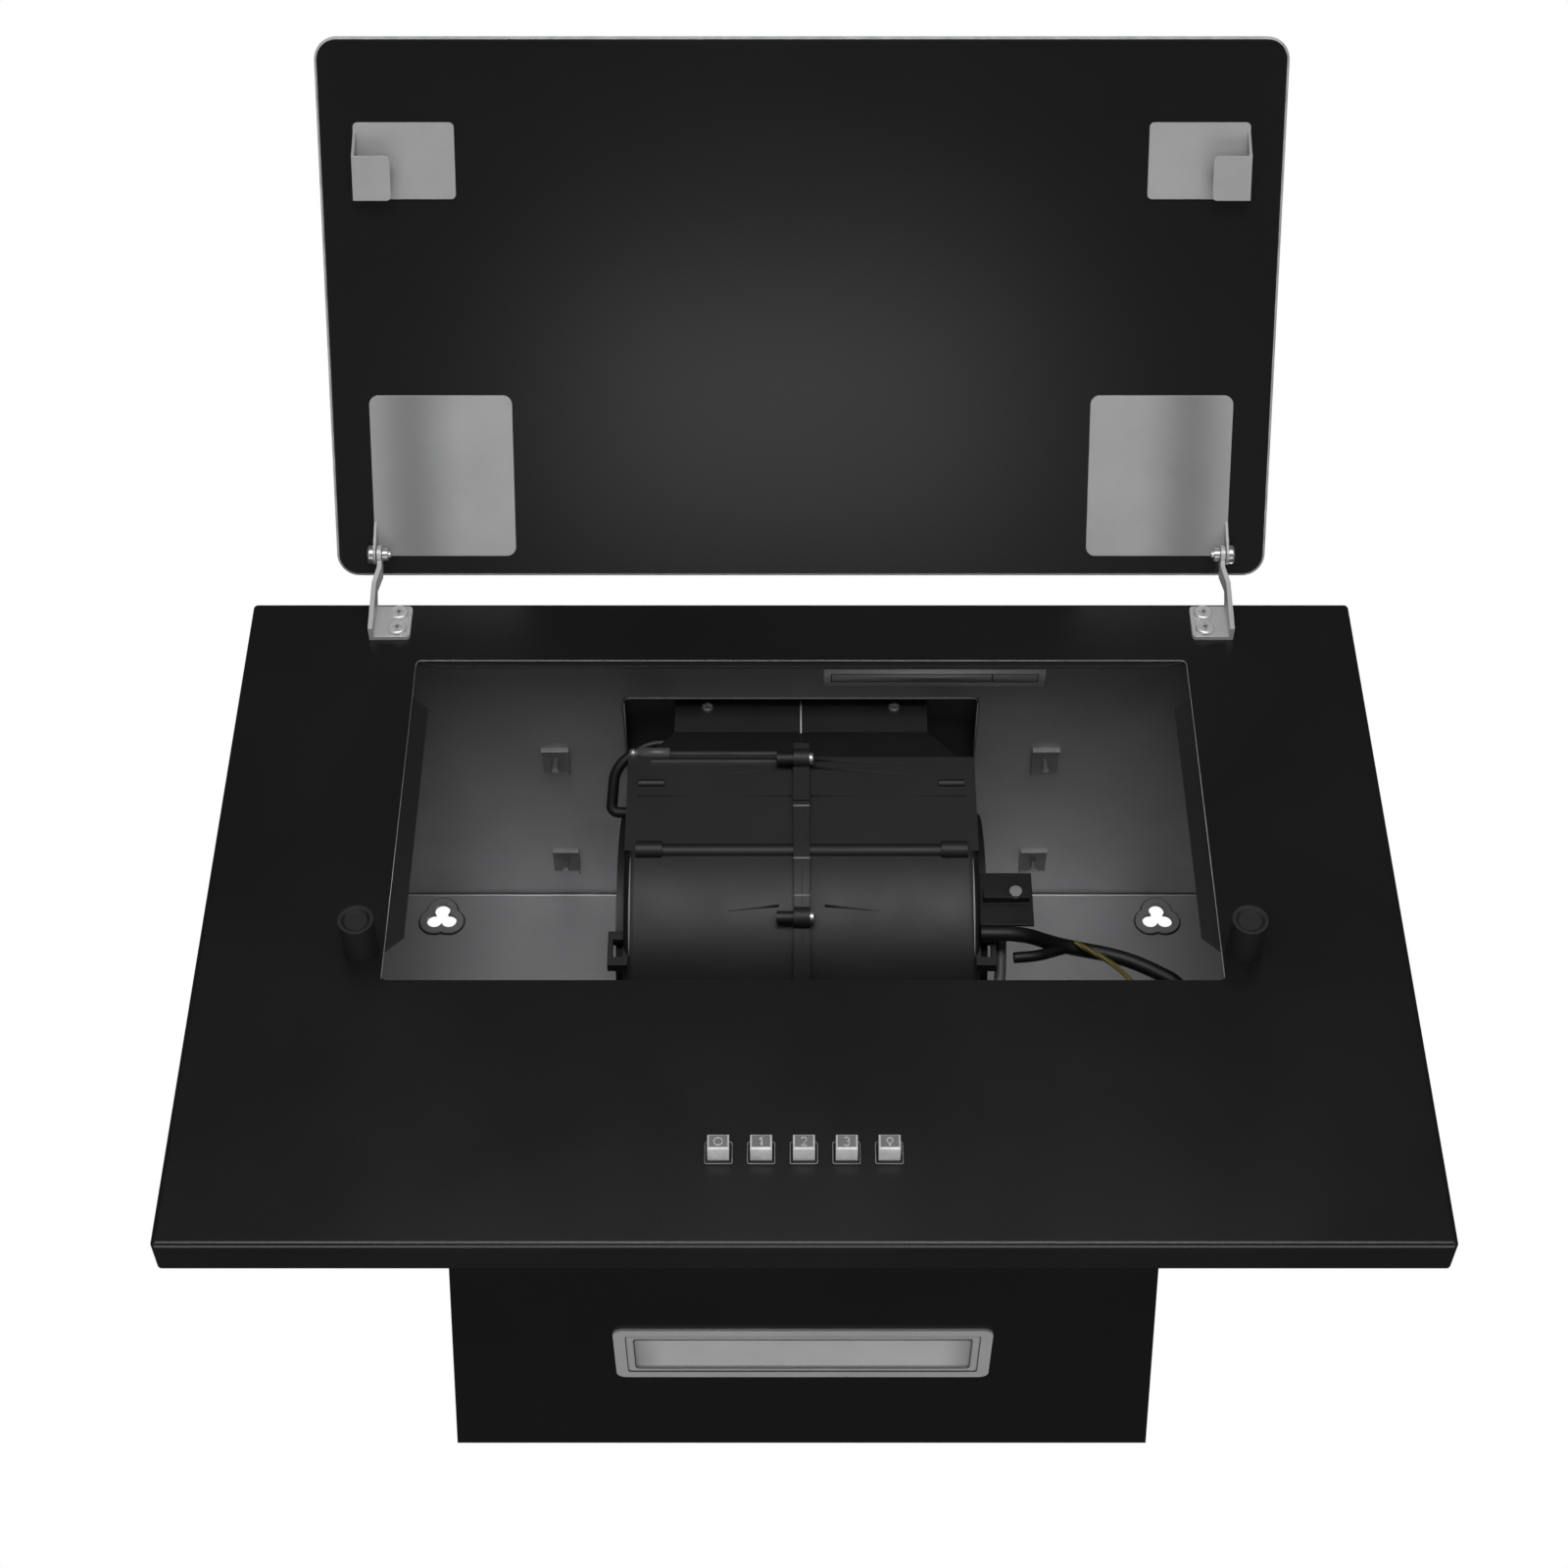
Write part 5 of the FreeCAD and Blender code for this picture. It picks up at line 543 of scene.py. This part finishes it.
def in_mm(*points):
    """Points written in millimetres, as places in metres."""
    return [Vector(point) * MM for point in points]


def node_box(node):
    """The lowest and highest corners of a CAD node in millimetres, rounded as they were drawn."""
    return [[round(value / MM, 3) for value in corner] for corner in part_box(node)]


# %% [markdown]
# ### Signs on the keys
#
# The keys carry raised signs: a ring for off, the plain numbers 1 to 3 and a small lamp. A font could draw
# them, but strands keep the same round stroke everywhere. The face of a key is found from its own mesh: it is
# the part that reaches farthest out of the panel. Each sign rides on its key's cap and goes in with it.

# %% Key signs
UP = Vector((0, 0.039968, 0.999201))
SIGN_SCALE = 1.2
SIGN_STROKE = 0.3
SIGNS = {
    "key_off": [arc(0, 0, 1.7, 0, 345)],
    "key_speed_1": [[(-0.7, 0.9), (-0.1, 1.4), (0.25, 1.9), (0.25, 0.5), (0.25, -1.9)]],
    "key_speed_2": [arc(0, 0.9, 1.0, 165, -35) + [(0.1, -0.7), (-1.0, -1.85), (-0.2, -1.9), (1.1, -1.9)]],
    "key_speed_3": [arc(-0.05, 0.95, 0.9, 150, -80), arc(-0.05, -0.9, 1.0, 80, -150)],
    "key_lamp": [arc(0, 0.5, 1.15, -60, 240), [(-0.5, -1.0), (0.5, -1.0)], [(-0.4, -1.7), (0.4, -1.7)]],
}


def face_centre(corners):
    """The middle of the face that reaches farthest out of the panel."""
    reach = max(corner.dot(OUT) for corner in corners)
    face = [corner for corner in corners if corner.dot(OUT) > reach - 0.05 * MM]
    return sum(face, Vector()) / len(face)


def in_face(across, up):
    """A step along the panel's face, in millimetres."""
    return Vector((across, 0, 0)) + UP * up


for name, lines in SIGNS.items():
    middle = face_centre([vertex.co for vertex in nodes[name].data.vertices])
    strokes = [([middle + in_face(*point) * SIGN_SCALE * MM for point in line], SIGN_STROKE * MM)
               for line in lines]
    strand_piece(name + "_sign", strokes, key_silver, body=name + "_cap")

# %% [markdown]
# ### Crosses in the base screws
#
# The four screws of the hinge bases have a cross for the driver. A real cross is cut into the head. From a
# metre away only its shade is seen, so two tapered dark strands lie crosswise in each head.

# %% Crosses in the base screws
cross_shade = moulded("screw_recess_shade", "4a4a4b", "525253", 0.5, 0.3 * MM, "5a5a5b")
CROSS_ARM = 1.7
CROSS_TURNS = (35, 125)
CROSS_TAPER = [0.12 * MM, 0.32 * MM, 0.12 * MM]
heads = [vertex.co for vertex in nodes["hinge_base_screws"].data.vertices]
level = sum(corner.z for corner in heads) / len(heads)
crosses = []
for side in (-1, 1):
    for upper in (True, False):
        one = [corner for corner in heads if corner.x * side > 0 and (corner.z > level) == upper]
        head = face_centre(one)
        for turn in CROSS_TURNS:
            arm = in_face(math.cos(math.radians(turn)), math.sin(math.radians(turn))) * CROSS_ARM * MM
            crosses.append(([head - arm, head, head + arm], CROSS_TAPER))
strand_piece("base_screw_crosses", crosses, cross_shade)

# %% [markdown]
# ### Label
#
# The label on the chamber's ceiling is left bare: a pale plate, a darker field and a thin printed frame with
# one divider. A printed film is about a tenth of a millimetre thick. It is drawn twice as thick, so that its
# edge shows. Its height comes from the sheet that it sticks to.

# %% Label
label_film = moulded("label_printed_film", "a8a8a9", "b2b2b3", 0.4, 0.6 * MM, "c8c8c9")
label_field = moulded("label_printed_field", "868687", "909091", 0.4, 0.6 * MM, "a6a6a7")
label_ink = moulded("label_dark_ink", "1c1c1d", "222223", 0.5, 0.3 * MM, "2a2a2b")
SHEET = 1.0
CEILING = node_box("chamber_wrap")[1][2] - SHEET
LABEL_LEFT, LABEL_RIGHT = 12.4, 133.2
LABEL_FRONT, LABEL_BACK = -214.8, -200.3
LABEL_TOP = CEILING - 0.1
LABEL_THICK = 0.2
LABEL_MARGIN = 4.0
FIELD_FACE = 0.26
FRAME_LINE = 0.25
DIVIDER = 104.3
DIVIDER_LINE = 0.35
DIVIDER_FACE = 0.28


def label_loop(inset, drop):
    """The label's outline, moved in and down by millimetres."""
    left, right = LABEL_LEFT + inset, LABEL_RIGHT - inset
    front, back, high = LABEL_FRONT + inset, LABEL_BACK - inset, LABEL_TOP - drop
    return in_mm((left, front, high), (right, front, high), (right, back, high), (left, back, high))


def thin_plate(name, inset, high, low, material):
    """A thin plate between two heights below the ceiling, with its edges drawn in a little."""
    shape = bmesh.new()
    rings = [[shape.verts.new(corner) for corner in label_loop(inset + more, drop)]
             for more, drop in ((0, high), (0.1, low))]
    for step in range(4):
        after = (step + 1) % 4
        shape.faces.new((rings[0][step], rings[0][after], rings[1][after], rings[1][step]))
    shape.faces.new(rings[0])
    shape.faces.new(rings[1])
    small_piece(name, shape, material, "hood")


thin_plate("label_plate", 0, 0, LABEL_THICK, label_film)
thin_plate("label_field", LABEL_MARGIN, LABEL_THICK, FIELD_FACE, label_field)
corners = label_loop(LABEL_MARGIN, FIELD_FACE)
sides = zip(corners, corners[1:] + corners[:1])
frame_lines = [([first, second], FRAME_LINE * MM) for first, second in sides]
ends = (LABEL_FRONT + LABEL_MARGIN, LABEL_BACK - LABEL_MARGIN)
divider = in_mm(*[(DIVIDER, deep, LABEL_TOP - DIVIDER_FACE) for deep in ends])
strand_piece("label_frame_line", frame_lines + [(divider, DIVIDER_LINE * MM)], label_ink, sides=6)

# %% [markdown]
# ### Bare edge of the opening
#
# The cut edge of the sheet round the intake shows bare steel, as a thin bright line on three sides of the
# opening. It is drawn half sunk in the sheet's edge. Points on the panel are given in the panel's own frame,
# because it leans back.

# %% Opening's edge
# Bare steel for the opening's cut edge; the same finish is the painted highlight on the hanging rims.
bare_edge_and_highlight = zinc("bare_steel_edge_and_painted_highlight", "8a8a8b", "969697", 0.4, 3 * MM, 0.05, metal=0.5)
PANEL_FOOT = Vector((0, -0.242, -0.344))
OPENING_HALF = 207.4
OPENING_LOW, OPENING_HIGH = 149.0, 358.4
OPENING_ROUND = 3.0
EDGE_SUNK = 0.25
EDGE_RADIUS = 0.28


def on_panel(across, up, out):
    """A point of the panel's frame, in millimetres: across, up along the sheet, out of its face."""
    return PANEL_FOOT + (in_face(across, up) + OUT * out) * MM


bend = OPENING_HIGH - OPENING_ROUND
edge_path = [(-OPENING_HALF, OPENING_LOW), (-OPENING_HALF, bend)]
edge_path += arc(-OPENING_HALF + OPENING_ROUND, bend, OPENING_ROUND, 180, 90, 6)
edge_path += arc(OPENING_HALF - OPENING_ROUND, bend, OPENING_ROUND, 90, 0, 6)
edge_path += [(OPENING_HALF, OPENING_LOW)]
bare_edge = [on_panel(across, up, -EDGE_SUNK) for across, up in edge_path]
strand_piece("opening_bare_edge", [(bare_edge, EDGE_RADIUS * MM)], bare_edge_and_highlight)

# %% [markdown]
# ### Edges of the bezels
#
# Each key sits in a black bezel whose rim is rubbed to a pale line. The line is a closed strand round a
# rectangle with rounded corners, one for each of the five keys.

# %% Edges of the bezels
bezel_edge = moulded("bezel_rubbed_edge", "b4b4b5", "bebebf", 0.3, 0.3 * MM, "c8c8c9")
KEY_PITCH = 20
KEY_ROW = 49
BEZEL_HALF_ACROSS, BEZEL_HALF_UP = 6.4, 5.9
BEZEL_ROUND = 0.8
BEZEL_FACE = 0.72
BEZEL_LINE = 0.15


def rounded_loop(half_across, half_up, radius):
    """Points round a rectangle with rounded corners."""
    across, up = half_across - radius, half_up - radius
    points = []
    for x, y, first in ((across, up, 0), (-across, up, 90), (-across, -up, 180), (across, -up, 270)):
        points += arc(x, y, radius, first, first + 90, 5)
    return points


loop = rounded_loop(BEZEL_HALF_ACROSS, BEZEL_HALF_UP, BEZEL_ROUND)
rims = []
for index in range(-2, 3):
    rim = [on_panel(KEY_PITCH * index + x, KEY_ROW + up, BEZEL_FACE) for x, up in loop]
    rims.append((rim, BEZEL_LINE * MM))
strand_piece("bezel_edges", rims, bezel_edge, closed=True)

# %% [markdown]
# ### Grooves of the lamp's frame
#
# Two grooves run round the lens, and their shade is painted as two dark strands. They take their size from
# the frame's own box, moved in by a few millimetres, so they stay parallel to its outline.

# %% Grooves of the lamp's frame
groove_painted_shade = moulded("lamp_painted_groove_shade", "3c3c3d", "444445", 0.5, 0.3 * MM, "505051")
GROOVE_INSETS = (6, 10)
GROOVE_ROUND = 2.0
GROOVE_SUNK = 0.2
GROOVE_RADIUS = 0.28
(left, front, bottom), (right, back, _) = node_box("lamp_frame")
grooves = []
for inset in GROOVE_INSETS:
    loop = rounded_loop((right - left) / 2 - inset, (back - front) / 2 - inset, GROOVE_ROUND)
    groove = in_mm(*[(x, y + (front + back) / 2, bottom + GROOVE_SUNK) for x, y in loop])
    grooves.append((groove, GROOVE_RADIUS * MM))
strand_piece("lamp_groove_shade_lines", grooves, groove_painted_shade, closed=True)

# %% [markdown]
# ### Rims of the hanging holes
#
# A hanging hole is three lobes round a middle, pressed with a raised rim. The CAD has the rim; here its foot
# gets a line of painted shade and its edge a line of painted highlight. The middle of a lobe lies 5 mm out,
# and the angle at which two lobes meet follows from the law of sines.

# %% Rims of the hanging holes
rim_shade = moulded("hanging_rim_shaded_foot", "3a3a3b", "424243", 0.5, 0.4 * MM, "4a4a4b")
HOLE_ACROSS = 214.5
LOBE_OUT = 5
LOBE_TURNS = (90, 210, 330)


def trefoil(middle, reach, deep):
    """Points round three lobes about a middle, at a depth in front of the wall."""
    half = 60 + math.degrees(math.asin(LOBE_OUT * math.sin(math.radians(60)) / reach))
    points = []
    for turn in LOBE_TURNS:
        across, up = LOBE_OUT * math.cos(math.radians(turn)), LOBE_OUT * math.sin(math.radians(turn))
        points += arc(across, up, reach, turn - half, turn + half, 16)
    return in_mm(*[(middle + across, -deep, up) for across, up in points])


for name, reach, deep, thick, finish in (("hanging_rim_painted_shade", 8.9, 1.5, 0.8, rim_shade),
                                         ("hanging_rim_painted_highlights", 8.4, 2.55, 0.25, bare_edge_and_highlight)):
    rims = [(trefoil(middle, reach, deep), thick * MM) for middle in (-HOLE_ACROSS, HOLE_ACROSS)]
    strand_piece(name, rims, finish, closed=True)

# %% [markdown]
# ### Lip of the aperture and fold of the wall
#
# The aperture for the outlet has a small turned lip, which shows as a dull line on three sides. The bend
# between wall and ceiling gets painted shade, a dark line.

# %% Lip of the aperture and fold of the wall
LIP_HALF = 98
LIP_BACK, LIP_FRONT = -110, -186
LIP_ROUND = 4
LIP_HEIGHT = CEILING - 0.3
LIP_RADIUS = 0.6
lip = [(-LIP_HALF, LIP_BACK), (-LIP_HALF, LIP_FRONT)]
lip += arc(LIP_ROUND - LIP_HALF, LIP_FRONT, LIP_ROUND, 180, 270, 6)
lip += arc(LIP_HALF - LIP_ROUND, LIP_FRONT, LIP_ROUND, -90, 0, 6)
lip += [(LIP_HALF, LIP_FRONT), (LIP_HALF, LIP_BACK)]
lip_path = in_mm(*[(across, deep, LIP_HEIGHT) for across, deep in lip])
strand_piece("aperture_lip", [(lip_path, LIP_RADIUS * MM)], dull_zinc)

FOLD_HALF = 258
FOLD_DEEP, FOLD_HEIGHT = -1.6, CEILING - 0.6
FOLD_RADIUS = 0.55
fold = in_mm(*[(across, FOLD_DEEP, FOLD_HEIGHT) for across in (-FOLD_HALF, 0, FOLD_HALF)])
strand_piece("wall_fold_shade", [(fold, FOLD_RADIUS * MM)], rim_shade)

# %% [markdown]
# ### Moulded lines of the blower
#
# The casing is moulded in two halves. On its neck and below the screw, short lines run away from the seam and
# thin out, so each strand's radius falls along its path. A pale line on the seam of the neck is painted light
# that shows through the gap between the halves.

# %% Moulded lines
NECK_FACE = -192
LINE_RADIUS = 0.75
SEAM_RADIUS = 0.4
TAPERED_LINES = [
    [(7, NECK_FACE, -26.4), (26, NECK_FACE, -27.1), (54, NECK_FACE, -28.1), (70, NECK_FACE, -28.6)],
    [(6, NECK_FACE, -31.4), (32, NECK_FACE, -33.7), (58, NECK_FACE, -35.7), (70, NECK_FACE, -36.4)],
    [(-5, NECK_FACE, -31.7), (-21, NECK_FACE, -33.1), (-41, NECK_FACE, -35.7), (-52, NECK_FACE, -37.0)],
    [(-12, -186.2, -117.4), (-24, -185.6, -118.6), (-39, -184.9, -120.1)],
    [(12, -186.2, -117.4), (26, -185.6, -118.6), (41, -184.9, -120.1)],
]
tapered = []
for line in TAPERED_LINES:
    sizes = [LINE_RADIUS * MM * (1 - index / (len(line) - 0.8)) for index in range(len(line))]
    tapered.append((in_mm(*line), sizes))
strand_piece("blower_moulded_lines", tapered, blower_plastic)

# Painted light through the seam of the neck.
seam = in_mm((0, -181.1, 23), (0, -181.1, 10), (0, -181.2, 0))
strand_piece("neck_seam_painted_light", [(seam, SEAM_RADIUS * MM)], pale_plastic)

# %% [markdown]
# ### Painted highlights on the blower's rims
#
# The rims of the drum and the ribs of its seam get a painted highlight, a thin pale line. On the rims it
# fades at both ends, so the radius follows half a sine wave.

# %% Painted highlight lines
rim_painted_highlight = moulded("blower_rim_painted_highlight", "8a8a8c", "949496", 0.26, 0.4 * MM, "a0a0a2")
DRUM_DEEP, DRUM_HIGH = -106, -86
DRUM_RADIUS = 86
RIM_ACROSS = 90.2
RIM_SUNK = 0.6
RIB_HALF = 4.4
RIB_OUT = 4.4
RIB_ANGLES = (5, 18.5)
RIB_RADIUS = 0.5


def on_drum(across, angle, out):
    """A point on the blower's drum: across, degrees from the front down, and millimetres out of its skin."""
    reach, turn = DRUM_RADIUS + out, math.radians(angle)
    return Vector((across, DRUM_DEEP - reach * math.cos(turn), DRUM_HIGH - reach * math.sin(turn))) * MM


angles = range(3, 42, 3)
shares = [index / (len(angles) - 1) for index in range(len(angles))]
gleam = [(0.15 + 0.4 * math.sin(math.pi * share)) * MM for share in shares]
highlight_strands = []
for across in (-RIM_ACROSS, RIM_ACROSS):
    highlight_strands.append(([on_drum(across, angle, -RIM_SUNK) for angle in angles], gleam))
for angle in RIB_ANGLES:
    highlight_strands.append(([on_drum(across, angle, RIB_OUT) for across in (-RIB_HALF, RIB_HALF)], RIB_RADIUS * MM))
highlight_strands.append((in_mm((-RIB_HALF, -196.4, -60), (RIB_HALF, -196.4, -60)), RIB_RADIUS * MM))
strand_piece("blower_painted_highlight_lines", highlight_strands, rim_painted_highlight)

# %% [markdown]
# ### Bend of the casing
#
# Below the neck the casing bends back towards the drum. The bend shows as a faint line on both sides of the
# seam. A thin strand of the casing's own plastic is enough, because its edge catches the light by itself.

# %% Bend lines
BEND_HEIGHT = -50.3
BEND_RADIUS = 0.3
bends = []
for side in (-1, 1):
    path = in_mm(*[(side * across, NECK_FACE, BEND_HEIGHT) for across in (5, 45, 88)])
    bends.append((path, BEND_RADIUS * MM))
strand_piece("blower_bend_lines", bends, blower_plastic)

# %% [markdown]
# ### Sleeve and dome of the wire tube
#
# The wire tube in front of the neck ends in a sleeve and a small domed cap. Both are turned shapes, so they
# are one straight strand whose radius follows a profile.

# %% Sleeve and dome
moulded_edge = moulded("blower_rubbed_edge", "4a4a4c", "525254", 0.3, 0.4 * MM, "6a6a6c")
SLEEVE = [(-87.5, 2.4), (-87.0, 3.2), (-71.4, 3.2), (-70.8, 2.6)]
TUBE_DEEP, TUBE_HEIGHT = -192.5, -22
DOME = [(-93.2, 0.3), (-93.0, 1.4), (-92.2, 2.3), (-91.0, 2.7), (-90.2, 2.7), (-89.8, 2.0), (-87.4, 2.0)]
for name, profile, finish in (("tube_sleeve", SLEEVE, moulded_edge), ("tube_end_dome", DOME, screw_zinc)):
    path = in_mm(*[(across, TUBE_DEEP, TUBE_HEIGHT) for across, size in profile])
    strand_piece(name, [(path, [size * MM for across, size in profile])], finish, sides=24)

# %% [markdown]
# ## Floor
#
# The object hangs on a wall that isn't there, high above a pale floor. The floor has a matt paint that keeps
# the shadow, and glows for the camera alone, so that it looks pale without throwing more light up. The Light
# Path node tells what kind of ray asks for a colour.

# %% Floor
FLOOR_HALF = 4.0
FLOOR_PLACE = (0, -1.0, -1.25)
FLOOR_GLOW = 0.72
floor_mesh = bpy.data.meshes.new("studio_floor")
shape = bmesh.new()
bmesh.ops.create_grid(shape, x_segments=8, y_segments=8, size=FLOOR_HALF)
shape.to_mesh(floor_mesh)
shape.free()
floor = bpy.data.objects.new("studio_floor", floor_mesh)
floor.location = FLOOR_PLACE
bpy.context.scene.collection.objects.link(floor)

floor_paint, tree = new_material("studio_floor_matt_paint")
tone = blend(tree, clouds(tree, 0.4, 0, 1), linear("b4b4b4"), linear("bcbcbc"))
matt = add(tree, "BsdfPrincipled", {"Base Color": tone, "Roughness": 0.8})
path = add(tree, "LightPath")
pale = add(tree, "Math", {0: (path, "Is Camera Ray"), 1: FLOOR_GLOW}, operation="MULTIPLY")
glow = add(tree, "Emission", {"Color": linear("ffffff"), "Strength": (pale, "Value")})
both = add(tree, "AddShader", {0: (matt, "BSDF"), 1: (glow, "Emission")})
add(tree, "OutputMaterial", {"Surface": (both, "Shader")})
floor_mesh.materials.append(floor_paint)

# %% [markdown]
# ## World
#
# Rays of the camera, and those that pass through plastic or glass, see a plain white backdrop. The others see
# a soft grey, a little lighter in front, because a photograph of a black hood shows no white mirrored in its
# paint.

# %% World
ROOM_FRONT, ROOM_BACK = 0.12, 0.05
world = bpy.data.worlds.new("pale_studio")
bpy.context.scene.world = world
world.use_nodes = True
tree = world.node_tree
tree.nodes.clear()
direction = add(tree, "TexCoord")
parts = add(tree, "SeparateXYZ", {"Vector": (direction, "Generated")})
lift = add(tree, "MapRange", {"Value": (parts, "Y"), "From Min": -1.0, "To Min": ROOM_FRONT,
                              "To Max": ROOM_BACK})
grey = add(tree, "Background", {"Color": linear("ffffff"), "Strength": (lift, "Result")})
white = add(tree, "Background", {"Color": linear("ffffff"), "Strength": 1.0})
path = add(tree, "LightPath")
clear = add(tree, "Math", {0: (path, "Is Camera Ray"), 1: (path, "Is Transmission Ray")}, operation="MAXIMUM")
seen = add(tree, "MixShader", {0: (clear, "Value"), 1: (grey, "Background"), 2: (white, "Background")})
add(tree, "OutputWorld", {"Surface": (seen, "Shader")})
print("room's grey from front to back:", ROOM_FRONT, ROOM_BACK)

# %% [markdown]
# ## Light
#
# All lamps are wide rectangles, because a small lamp would draw hard shadows in the chamber. Most stand low
# and in front, where the camera is, so that they reach through the intake. Their brightness is given per
# area, so a lamp can be made larger without making its mirror image brighter. None is seen by the camera.

# %% Lights
HOOD_MIDDLE = (0, -0.2, -0.05)


def soft_light(name, place, aim, across, deep, radiance, cone=180):
    """A rectangular area light that looks from a place at an aim, with a brightness and a cone in degrees."""
    lamp = bpy.data.lights.new(name, "AREA")
    lamp.shape = "RECTANGLE"
    lamp.size = across
    lamp.size_y = deep
    lamp.energy = math.pi * across * deep * radiance
    lamp.spread = math.radians(cone)
    made = bpy.data.objects.new(name, lamp)
    made.location = place
    made.rotation_euler = (Vector(aim) - Vector(place)).to_track_quat("-Z", "Y").to_euler()
    made.visible_camera = False
    bpy.context.scene.collection.objects.link(made)
    print("light:", name, "watts:", round(lamp.energy, 2))


# In front of the hood, looking straight up: the flap mirrors it as a soft gleam in its middle.
soft_light("low_light", (0, -0.97, -1.15), (0, -0.97, 0), 0.46, 0.26, 1.7)
# From both sides: they bring out the round of the blower and the end plates.
soft_light("left_light", (-1.15, -1.25, -0.95), HOOD_MIDDLE, 0.6, 0.6, 1.5)
soft_light("right_light", (1.15, -1.25, -0.95), HOOD_MIDDLE, 0.6, 0.6, 1.5)
# From straight below: it lights the lamp's frame and the undersides of the keys.
soft_light("under_light", (0, -0.15, -1.2), (0, -0.25, 0), 1.8, 0.6, 2.4)
# From the front, low and high: they fill the panel's face and the flap's plates.
soft_light("front_light", (0, -2.1, -0.35), HOOD_MIDDLE, 1.6, 0.7, 2.0, cone=100)
soft_light("high_light", (0, -2.2, 0.5), HOOD_MIDDLE, 1.2, 0.4, 1.0)
# From behind: a narrow cone on the hood alone, for views of its back.
soft_light("back_light", (0.9, 3.2, 0.6), (0, 0, -0.02), 1.0, 0.6, 0.3, cone=22)

# %% [markdown]
# ## Camera
#
# The camera stands low in front of the hood and looks up at it. Its place, tilt and focal length were fitted
# to the corners of the panel, the flap and the chamber.

# %% Camera
CAMERA_PLACE = (-9.3 * MM, -1390.8 * MM, -942.4 * MM)
LOOK_UP = 36.9
lens = bpy.data.cameras.new("camera")
lens.sensor_width = 36.0
lens.lens = 64.125
lens.clip_start = 0.01
camera = bpy.data.objects.new("camera", lens)
camera.location = CAMERA_PLACE
camera.rotation_euler = (math.radians(90 + LOOK_UP), 0, 0)
bpy.context.scene.collection.objects.link(camera)
bpy.context.scene.camera = camera
bpy.context.scene.view_settings.view_transform = "Standard"
print("camera looks up by", LOOK_UP, "degrees")
